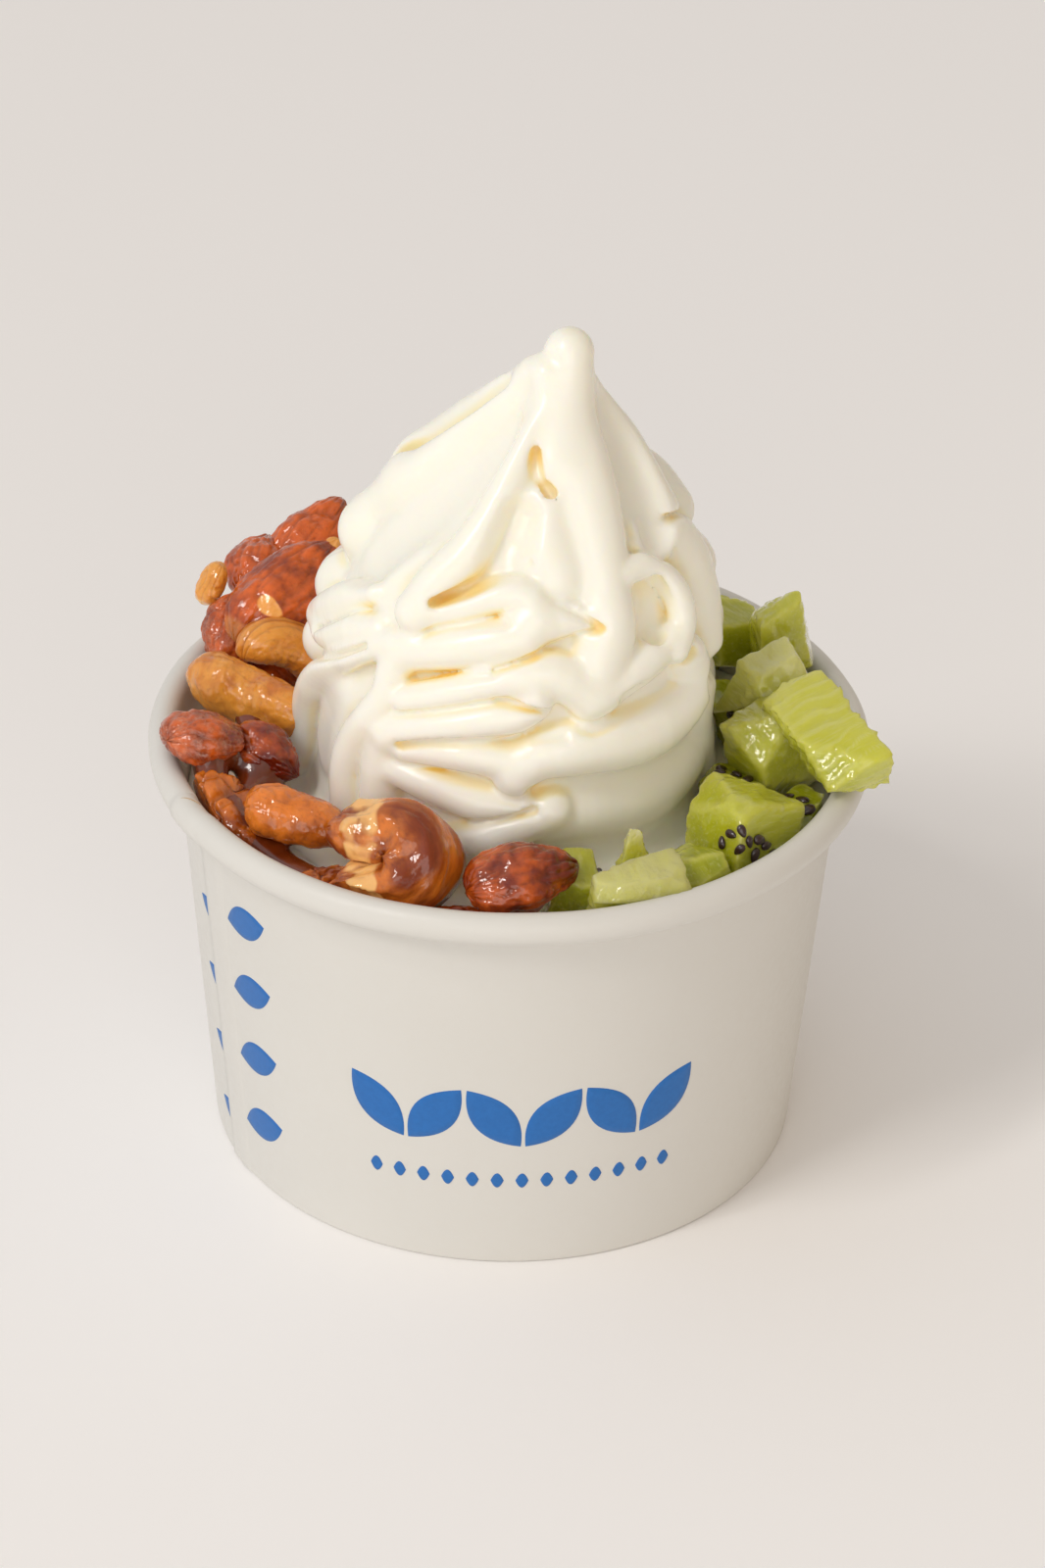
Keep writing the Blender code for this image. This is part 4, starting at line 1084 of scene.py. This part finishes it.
# %% Nut rows
# name, kind, length, width, thickness, bend, heading, pitch, roll,
# slot, how dark (0 to 1), how much frost of sugar, how much pale skin shows at its ends
NUTS = (
    ("almond_back_top", "almond", 15.5, 9.0, 7.2, 0, 55, 26, 20, "almond_skin", 0.25, 0.15, 0.0),
    ("almond_back_left", "almond", 11.5, 8.5, 7.0, 0, 80, 20, 0, "almond_skin", 0.35, 0.20, 0.0),
    ("almond_high", "almond", 20.5, 11.0, 8.5, 0, 45, 24, 35, "almond_skin", 0.50, 0.10, 0.5),
    ("nut_chip", "cashew", 6.6, 4.0, 3.2, 20, 20, 65, 0, "cashew", 0.10, 0.10, 0.6),
    ("almond_sugared", "almond", 11.0, 7.0, 6.0, 0, 80, 55, 0, "almond_skin", 0.55, 0.50, 0.0),
    ("cashew_small", "cashew", 14.5, 6.0, 6.0, 165, 10, -30, 60, "cashew", 0.35, 0.10, 0.2),
    ("cashew_big", "cashew", 18.5, 9.0, 7.6, 80, -28, -8, -60, "cashew", 0.45, 0.15, 0.3),
    ("almond_on_rim", "almond", 11.5, 9.2, 7.2, 0, 30, -10, 0, "almond_skin", 0.70, 0.50, 0.0),
    ("almond_dark", "almond", 11.0, 7.6, 6.6, 0, -30, -20, 0, "almond_skin", 0.90, 0.25, 0.0),
    ("caramel_left", "walnut", 16.0, 8.6, 7.6, 20, -50, -14, 0, "caramel", 0.55, 0.15, 0.3),
    ("caramel_bit", "walnut", 7.0, 5.0, 4.6, 0, 10, 0, 0, "caramel", 0.60, 0.10, 0.2),
    ("caramel_cashew", "cashew", 14.0, 7.2, 6.6, 40, -15, -8, 20, "caramel", 0.40, 0.15, 0.3),
    ("caramel_large", "folded", 26.0, 8.8, 9.0, 172, 90, 50, 176, "caramel", 0.70, 0.10, 0.6),
    ("caramel_crumb", "walnut", 8.0, 6.0, 5.0, 0, 20, 0, 0, "caramel", 0.80, 0.10, 0.0),
    ("almond_front", "almond", 15.5, 10.0, 8.5, 0, 20, 4, 0, "almond_skin", 0.80, 0.10, 0.0),
    ("almond_sliver", "almond", 9.0, 5.0, 3.4, 0, 5, 0, 0, "almond_skin", 0.95, 0.05, 0.0),
    ("almond_deep_left", "almond", 13.0, 8.5, 6.6, 0, 125, 0, 0, "almond_skin", 0.60, 0.20, 0.0),
    ("almond_deep_back", "almond", 14.0, 9.0, 7.6, 0, 150, 0, 0, "almond_skin", 0.50, 0.20, 0.0),
    ("cashew_deep_back", "cashew", 15.0, 7.4, 6.2, 60, 165, 0, 0, "cashew", 0.40, 0.10, 0.3),
    ("almond_rear", "almond", 16.0, 9.0, 7.0, 0, 160, 6, 0, "almond_skin", 0.40, 0.20, 0.0),
    ("cashew_deep_left", "cashew", 12.0, 6.4, 5.6, 40, 95, 0, 0, "cashew", 0.50, 0.10, 0.2),
)

# %% [markdown]
# ### Skins under syrup
# Three finishes share one recipe: a light and a dark colour mixed by soft noise, darker syrup in the
# wrinkles, pale nut where the skin has come off, and a whitish frost where the sugar has grained.
# A clear coat over it all is the hard syrup, smooth where it is clear and rough where it is frosted.

# %% Nut finishes
def nut_finish(name, light, dark, wrinkle, pale, frost, roughness):
    """A skin with a syrup coat; its grain follows the nut's own coordinates, in mm."""
    skin = Finish(name, Specular_IOR_Level=0.05, Coat_IOR=1.6, Subsurface_Weight=0.12,
                  Subsurface_Scale=0.0015, Subsurface_Radius=(1.0, 0.35, 0.12))
    grain = skin.node("ShaderNodeAttribute", attribute_name="grain").outputs["Vector"]
    skin.place = grain
    mottle = skin.noise(0.24, 3.0, 0.55)
    fine = skin.noise(1.6, 4.0, 0.65)
    patches = skin.between(mottle, 0.30, 0.70)
    how_dark = skin.math("MULTIPLY_ADD", patches, 0.70, skin.attribute("dark"))
    share = skin.between(how_dark, 0.40, 1.55)
    colour = skin.mix(share, light, dark)
    colour = skin.mix(skin.math("MULTIPLY", skin.between(fine, 0.50, 0.75), 0.25), colour, wrinkle)
    colour = skin.mix(skin.math("MULTIPLY", skin.attribute("wrinkle"), 0.4), colour, wrinkle)
    colour = skin.mix(skin.between(skin.attribute("pale"), 0.35, 0.75), colour, pale)
    crust = skin.math("ADD", skin.attribute("frost"), skin.math("MULTIPLY", skin.noise(0.9, 5.0, 0.7), 0.9))
    crust = skin.between(crust, 0.85, 1.3)
    skin.set(Base_Color=skin.mix(skin.math("MULTIPLY", crust, 0.6), colour, frost))
    skin.set(Roughness=roughness, Coat_Weight=skin.between(crust, 0.0, 1.0, 1.0, 0.5), Coat_Roughness=0.05)
    grains = skin.bump(skin.noise(5.0, 3.0, 0.6), 0.00003, 1.0)
    lumps = skin.bump(fine, 0.00012, 1.0, grains)
    skin.set(Normal=lumps)
    pits = skin.bump(skin.noise(2.4, 2.0, 0.5), 0.00002, 1.0)
    skin.set(Coat_Normal=skin.bump(skin.noise(0.9, 2.0, 0.5), 0.00013, 1.0, pits))
    return skin


NUT_FINISHES = {
    "almond_skin": nut_finish("almond_skin", shade(228, 104, 26), shade(108, 24, 4), shade(60, 12, 3),
                              shade(248, 172, 82), shade(236, 176, 146), 0.35),
    "cashew": nut_finish("cashew", shade(234, 158, 62), shade(188, 94, 24), shade(124, 54, 12),
                         shade(250, 204, 126), shade(248, 220, 180), 0.38),
    "caramel": nut_finish("caramel", shade(234, 130, 38), shade(122, 38, 4), shade(74, 22, 3),
                          shade(244, 186, 112), shade(244, 210, 168), 0.32),
}

# %% Make the nuts
for seed, row in enumerate(NUTS):
    name, kind, length, width, thickness, bend, heading, pitch, roll, slot, dark, frost, pale = row
    local, faces, wrinkles, flat = nut_surface(kind, length, width, thickness, bend, 20 + seed)
    points = placed(local, turned_to(heading, pitch, roll), name)
    share = np.abs(flat[:, 0]) / (0.5 * length)
    if kind == "folded":
        ragged = share + 0.09 * unevenness(flat, 0.55, 60 + seed)
        bare = smooth_step(ragged, 0.36, 0.54) * (1.0 - smooth_step(ragged, 0.74, 0.9))
        bare = bare * (0.8 + 0.5 * unevenness(flat * (0.6, 1.6, 1.6), 0.6, 90 + seed)) - 0.35 * wrinkles
    else:
        bare = pale * smooth_step(-flat[:, 0] / length, 0.34, 0.44)
        bare = bare + (pale > 0) * smooth_step(unevenness(flat, 0.22, 90 + seed), 1.0 - pale, 1.3 - pale)
    piece_from(name + "_skin", points * MM, faces, NUT_FINISHES[slot].material, slot, (name,),
               wrinkle=wrinkles, dark=np.full(len(points), dark), frost=np.full(len(points), frost),
               pale=np.clip(bare, 0.0, 1.0), grain=flat)
print("nuts:", len(NUTS), "pieces of", 2 * NUT_ROWS * NUT_COLUMNS, "triangles")

# %% [markdown]
# ## Syrup between the nuts
# Hot syrup ran down between the nuts and set there as dark, glassy bridges. They hang from nut to
# nut with a thin waist, so they are modelled as ropes in the same kind of field as the swirl: each
# rope joins the middles of two neighbours, and the nuts themselves cover its fat ends.

# %% Syrup bridges
SYRUP_CELL = 0.45
SYRUP_SUNK = 1.2
SYRUP_RADII = (2.6, 1.9, 2.6)
BRIDGES = (
    ("almond_on_rim", "almond_dark"), ("almond_dark", "caramel_left"), ("caramel_left", "caramel_bit"),
    ("almond_dark", "caramel_bit"), ("almond_on_rim", "caramel_left"), ("caramel_bit", "caramel_cashew"),
    ("caramel_left", "caramel_crumb"), ("almond_sugared", "almond_high"), ("cashew_big", "almond_dark"),
)


def middle_of(node):
    """The middle of a node's box, in mm."""
    box_low, box_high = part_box(node)
    return 0.5 * (np.array(box_low) + np.array(box_high)) / MM


def syrup_bridges():
    """Round cones from nut to nut, a little below their middles, softly joined and kept in the cup."""
    ends = np.array([middle_of(name) for pair in BRIDGES for name in pair]) - (0.0, 0.0, SYRUP_SUNK)
    clay = Clay(ends.min(0) - 5.0, ends.max(0) + 5.0, SYRUP_CELL)
    for start, end in ends.reshape(-1, 2, 3):
        route = smooth_route([start, 0.5 * (start + end) - (0.0, 0.0, 0.5), end], 1.2)
        clay.add(*clay.rope(route, np.array(SYRUP_RADII), 4.5), 2.0)
    x, y, z = np.meshgrid(*clay.axes, indexing="ij", sparse=True)
    inside_wall = np.hypot(x, y) - (WALL_TOP_RADIUS - PAPER - 0.6)
    clay.far = np.maximum(clay.far, np.maximum(inside_wall, FILL_AT_WALL - 1.0 - z)).astype(np.float32)
    return clay


syrup_clay = syrup_bridges()
syrup_points, syrup_faces = net_of(syrup_clay)
syrup_points = relaxed(syrup_clay, syrup_points, syrup_faces, 3)
syrup = Finish("dark_syrup", Roughness=0.25, Specular_IOR_Level=0.3, Coat_Weight=1.0, Coat_Roughness=0.05,
               Subsurface_Weight=0.1, Subsurface_Scale=0.002, Subsurface_Radius=(1.0, 0.3, 0.1))
syrup.set(Base_Color=syrup.mix(syrup.noise(240.0, 3.0), shade(58, 18, 6), shade(140, 58, 14)))
syrup.set(Normal=syrup.bump(syrup.noise(500.0, 3.0), 0.0003, 0.6))
piece_from("syrup_bridges", syrup_points * MM, syrup_faces, syrup.material, "caramel")
print("syrup:", len(syrup_faces), "triangles in", len(BRIDGES), "bridges")

# %% [markdown]
# ## Cut kiwi
# A chunk of kiwi is what flat knife cuts leave of a round fruit: planes that meet in soft edges, wet
# and slightly see-through. Each chunk is written as a distance from its middle in every direction. A
# plane with direction n at distance h gives n.d / h, the largest of these is the surface that shows,
# and a sum of high powers in place of the largest rounds the edges off.

# %% Chunk shapes
CHUNK_ROWS = 80
CHUNK_COLUMNS = 112
CHUNK_POWER = 22.0


def chunk_planes(half, seed, corners_cut):
    """Six faces a little out of square, and a few cut corners, as directions and distances."""
    chance = np.random.default_rng(seed)
    faces = np.concatenate([np.eye(3), -np.eye(3)]) + chance.normal(0.0, 0.13, (6, 3))
    faces /= np.linalg.norm(faces, axis=1, keepdims=True)
    reach = np.concatenate([half, half])
    signs = chance.choice((-1.0, 1.0), (corners_cut, 3)) * chance.uniform(0.15, 1.0, (corners_cut, 3))
    corner = signs / half
    corner /= np.linalg.norm(corner, axis=1, keepdims=True)
    cut = (np.abs(corner) * half).sum(1) * chance.uniform(0.62, 0.88, corners_cut)
    return np.concatenate([faces, corner]), np.concatenate([reach, cut])


def chunk_reach(directions, planes, reach):
    """(sum of max(n.d / h, 0)^p)^(-1/p) over the planes: the distance to the surface that way."""
    hits = np.maximum(directions @ planes.T / reach, 0.0)
    return (hits**CHUNK_POWER).sum(1) ** (-1.0 / CHUNK_POWER)


def chunk_surface(size, seed, ribs, narrow):
    """Points in every direction from the middle, moved by grain and, on the slab, by ribs across it."""
    half = 0.5 * np.array(size)
    along, around = capped_grid(CHUNK_ROWS, CHUNK_COLUMNS)
    ring = np.sqrt(np.maximum(1.0 - along**2, 0.0))
    directions = np.stack([ring * np.cos(around), ring * np.sin(around), along], -1) * half
    directions /= np.linalg.norm(directions, axis=1, keepdims=True)
    planes, reach = chunk_planes(half, seed, 7)
    points = directions * chunk_reach(directions, planes, reach)[:, None]
    share = 0.5 + 0.5 * points[:, 2:] / half[2]
    points = points * np.where([[True, True, False]], 1.0 - narrow * share, 1.0)
    grain = points * (1.0, 0.35, 1.0)
    depth = 0.16 * unevenness(grain, 0.9, seed + 1) + 0.07 * unevenness(grain, 2.2, seed + 2)
    depth += 0.35 * unevenness(points, 0.22, seed + 4)
    wander = points[:, 0] + 0.8 * unevenness(points, 0.35, seed + 3)
    rib = 0.5 + 0.5 * np.sin(2.0 * np.pi * wander / 2.1)
    rib = rib * ribs
    depth += 0.26 * (rib - 0.5 * ribs)
    hits = np.sort(np.maximum(directions @ planes.T / reach, 0.0), axis=1)
    edge = smooth_step(hits[:, -2] / hits[:, -1], 0.80, 1.0)
    depth += edge * (0.25 + 0.35 * ribs) * unevenness(points, 1.1, seed + 6)
    return points + directions * depth[:, None], rib, edge


# %% Chunk rows
# name, size, heading, pitch, roll, how pale its top is, how deep its green, ribs, how its top narrows;
# the deep green is partly the flesh's own and partly painted shade on chunks low in the cup
KIWI = (
    ("kiwi_upper", (8.6, 8.4, 12.0), 10, 8, 12, 0.15, 0.25, 0.2, 0.35),
    ("kiwi_rear", (8.4, 8.0, 8.4), 40, 10, 0, 0.10, 0.55, 0.0, 0.2),
    ("kiwi_seeded_rear", (8.0, 8.0, 7.6), 20, 0, 10, 0.0, 0.85, 0.0, 0),
    ("kiwi_pale_top", (10.2, 9.0, 6.4), 20, 10, -10, 0.90, 0.15, 0.0, 0.35),
    ("kiwi_middle", (10.4, 8.6, 12.0), 35, 18, -12, 0.20, 0.25, 0.1, 0.2),
    ("kiwi_over_rim", (17.2, 8.6, 4.4), -56, -22, 18, 0.25, 0.0, 1.0, 0),
    ("kiwi_cube", (11.6, 11.0, 9.4), -38, 6, -18, 0.05, 0.40, 0.0, 0.12),
    ("kiwi_flat", (7.6, 8.0, 6.4), 10, 0, 0, 0.0, 0.80, 0.0, 0),
    ("kiwi_dark", (8.6, 8.6, 8.0), 30, 0, -10, 0.0, 0.95, 0.0, 0),
    ("kiwi_pale_bar", (12.4, 5.4, 7.0), 14, 0, 0, 0.85, 0.0, 0.15, 0),
    ("kiwi_sliver", (6.2, 3.6, 8.8), 10, 0, 0, 0.90, 0.0, 0.0, 0.72),
    ("kiwi_left", (6.4, 7.4, 7.0), 5, 0, 0, 0.10, 0.55, 0.0, 0),
    ("kiwi_rim_low", (6.6, 7.4, 6.0), 40, 0, 0, 0.0, 1.0, 0.0, 0),
    ("kiwi_rim_rear", (6.6, 8.0, 7.0), 5, 0, 0, 0.0, 0.90, 0.0, 0),
    ("kiwi_deep_right", (6.6, 8.6, 6.4), 30, 0, 0, 0.0, 0.90, 0.0, 0),
    ("kiwi_back_right", (9.4, 9.0, 9.0), 35, 0, 8, 0.1, 0.50, 0.1, 0),
    ("kiwi_back", (10.0, 8.4, 8.4), -15, 6, 0, 0.3, 0.35, 0.0, 0),
    ("kiwi_back_left", (8.4, 7.6, 7.4), 5, 0, 0, 0.0, 0.60, 0.0, 0),
    ("kiwi_back_high", (9.0, 8.0, 7.4), -25, 10, 10, 0.6, 0.10, 0.2, 0.3),
)

# %% [markdown]
# ### Wet kiwi flesh
# Light goes some way into the flesh and comes out yellow-green, so most of the colour is under the
# surface. That light is also painted in: the flesh is a paler yellow near the edges of a chunk, as a
# painted glow of thin edges. Fine fibres run one way through a chunk, paler than what is between them.
# Juice on the cut faces gives small sharp reflections.

# %% Kiwi finish
kiwi = Finish("kiwi_flesh", Roughness=0.22, Subsurface_Weight=0.8, Subsurface_Scale=0.006,
              Subsurface_Radius=(0.95, 1.0, 0.15), Specular_IOR_Level=0.2, Coat_Weight=1.0,
              Coat_Roughness=0.04, Coat_IOR=1.5, Transmission_Weight=0.25, IOR=1.36)
kiwi.place = kiwi.node("ShaderNodeAttribute", attribute_name="grain").outputs["Vector"]
# A deeper green where "deep" is high: partly the flesh's own green, partly painted shade under each chunk.
flesh = kiwi.mix(kiwi.attribute("deep"), shade(222, 220, 44), shade(128, 140, 10))
flesh = kiwi.mix(kiwi.math("MULTIPLY", kiwi.noise(0.35, 3.0), 0.5), flesh, shade(190, 196, 22))
fibre_run = kiwi.node("ShaderNodeMapping", {"Vector": kiwi.place, "Scale": (2.4, 0.35, 2.4)}).outputs[0]
fibre = kiwi.node("ShaderNodeTexNoise", {"Vector": fibre_run, "Scale": 1.0, "Detail": 4.0}).outputs["Fac"]
flesh = kiwi.mix(kiwi.math("MULTIPLY", kiwi.between(fibre, 0.50, 0.72), 0.35), flesh, shade(228, 226, 140))
flesh = kiwi.mix(kiwi.math("MULTIPLY", kiwi.between(kiwi.attribute("rib"), 0.6, 1.0), 0.3), flesh,
                 shade(238, 236, 170))
# Painted glow: paler yellow near the edges of a chunk, where light shines through thin flesh.
flesh = kiwi.mix(kiwi.math("MULTIPLY", kiwi.attribute("edge"), 0.55), flesh, shade(226, 224, 110))
kiwi.set(Base_Color=kiwi.mix(kiwi.attribute("pale"), flesh, shade(228, 224, 160)))
drops = kiwi.bump(kiwi.noise(2.6, 2.0, 0.5), 0.00002, 1.0)
wet = kiwi.bump(kiwi.noise(0.7, 2.0, 0.5), 0.00015, 1.0, drops)
kiwi.set(Normal=kiwi.bump(fibre, 0.00008, 1.0, wet), Coat_Normal=wet)

# %% Make the chunks
chunks = {}
for seed, (name, size, heading, pitch, roll, pale, deep, ribs, narrow) in enumerate(KIWI):
    local, rib, edge = chunk_surface(size, 300 + seed, ribs, narrow)
    turn = turned_to(heading, pitch, roll)
    points = placed(local, turn, name)
    top = smooth_step(local @ turn[2] / (0.5 * size[2]), 0.25, 0.95)
    paler = pale * (0.35 + 0.65 * top) * (0.85 + 0.15 * unevenness(local, 0.5, seed))
    # Painted shade: the lower side of each chunk gets a deeper green.
    painted_shade_below = smooth_step(-(local @ turn[2]) / (0.5 * size[2]), -0.6, 0.9)
    green_and_painted_shade = np.clip(deep * (0.8 + 0.2 * unevenness(local, 0.3, 40 + seed)) + 0.35 * painted_shade_below, 0.0, 1.0)
    piece_from(name + "_flesh", points * MM, capped_rows(CHUNK_ROWS, CHUNK_COLUMNS), kiwi.material,
               "kiwi_flesh", (name,), pale=paler, deep=green_and_painted_shade, rib=rib, edge=edge, grain=local)
    chunks[name] = (local, points, turn, 0.5 * np.array(size))
print("kiwi:", len(KIWI), "chunks of", 2 * CHUNK_ROWS * CHUNK_COLUMNS, "triangles")

# %% [markdown]
# ### Seeds
# Kiwi seeds sit in one layer round the pale core, so on a cut face they come in a band. Each one is
# a small flattened drop, and it lies with about half of itself in the flesh. They are all one kind
# and hold a few dozen faces each, so they are joined into one piece.

# %% Seeds
SEED_SIZE = (2.1, 1.35, 0.95)
SEED_ROWS = 7
SEED_COLUMNS = 12


def seed_shape():
    """A drop along x: an ellipsoid that narrows to one end."""
    along, around = capped_grid(SEED_ROWS, SEED_COLUMNS)
    ring = np.sqrt(np.maximum(1.0 - along**2, 0.0)) * (1.0 - 0.25 * along)
    return 0.5 * np.stack([SEED_SIZE[0] * along, SEED_SIZE[1] * ring * np.cos(around),
                           SEED_SIZE[2] * ring * np.sin(around)], -1)


def seeds_on(name, chance, band, count):
    """Seeds set in the surface where it comes near a plane through the chunk, about one seed apart."""
    local, points, turn, half = chunks[name]
    faces = capped_rows(CHUNK_ROWS, CHUNK_COLUMNS)
    outward = outward_of(local, faces)
    direction, distance, width = band
    near = np.flatnonzero(np.abs(local / half @ np.array(direction) - distance) < width)
    chance.shuffle(near)
    chosen = []
    for index in near:
        if all(np.linalg.norm(local[index] - local[other]) > 1.7 for other in chosen):
            chosen.append(index)
        if len(chosen) == count:
            break
    made = []
    for index in chosen:
        out = turn @ outward[index]
        run = np.cross(out, chance.normal(0.0, 1.0, 3))
        run /= np.linalg.norm(run)
        axes = np.stack([run, np.cross(out, run), out])
        size = chance.uniform(0.85, 1.1)
        made.append((points[index] + 0.12 * out + size * seed_shape() @ axes,
                     capped_rows(SEED_ROWS, SEED_COLUMNS)))
    return made


# chunk, direction of the seed layer's plane, its place and width as shares of the half size, seeds
SEED_BANDS = (
    ("kiwi_cube", (0.7, -0.5, -0.5), 1.1, 0.22, 17),
    ("kiwi_flat", (0.0, 0.0, 1.0), 0.9, 0.25, 7),
    ("kiwi_seeded_rear", (0.0, 0.0, 1.0), 0.8, 0.3, 6),
    ("kiwi_left", (0.0, 0.3, 1.0), 0.8, 0.3, 4),
    ("kiwi_rim_low", (0.4, 0.0, 0.9), 0.7, 0.3, 6),
    ("kiwi_deep_right", (0.3, 0.0, 0.9), 0.7, 0.3, 5),
    ("kiwi_back_right", (0.9, 0.2, 0.2), 0.5, 0.16, 14),
    ("kiwi_back", (0.2, 0.3, 0.9), 0.5, 0.16, 14),
    ("kiwi_back_left", (0.8, 0.4, 0.1), 0.3, 0.16, 10),
)
chance = np.random.default_rng(5)
seeds = []
for name, direction, distance, width, count in SEED_BANDS:
    seeds += seeds_on(name, chance, (direction, distance, width), count)
seed_skin = Finish("kiwi_seed", Roughness=0.22, Coat_Weight=0.6, Coat_Roughness=0.08)
seed_skin.set(Base_Color=seed_skin.mix(seed_skin.noise(900.0), shade(30, 14, 18), shade(58, 30, 32)))
seed_skin.set(Normal=seed_skin.bump(seed_skin.noise(2500.0), 0.00004, 0.4))
seed_points, seed_faces = joined(seeds)
piece_from("kiwi_seeds", seed_points * MM, seed_faces, seed_skin.material, "kiwi_seed")
print("seeds:", len(seeds))
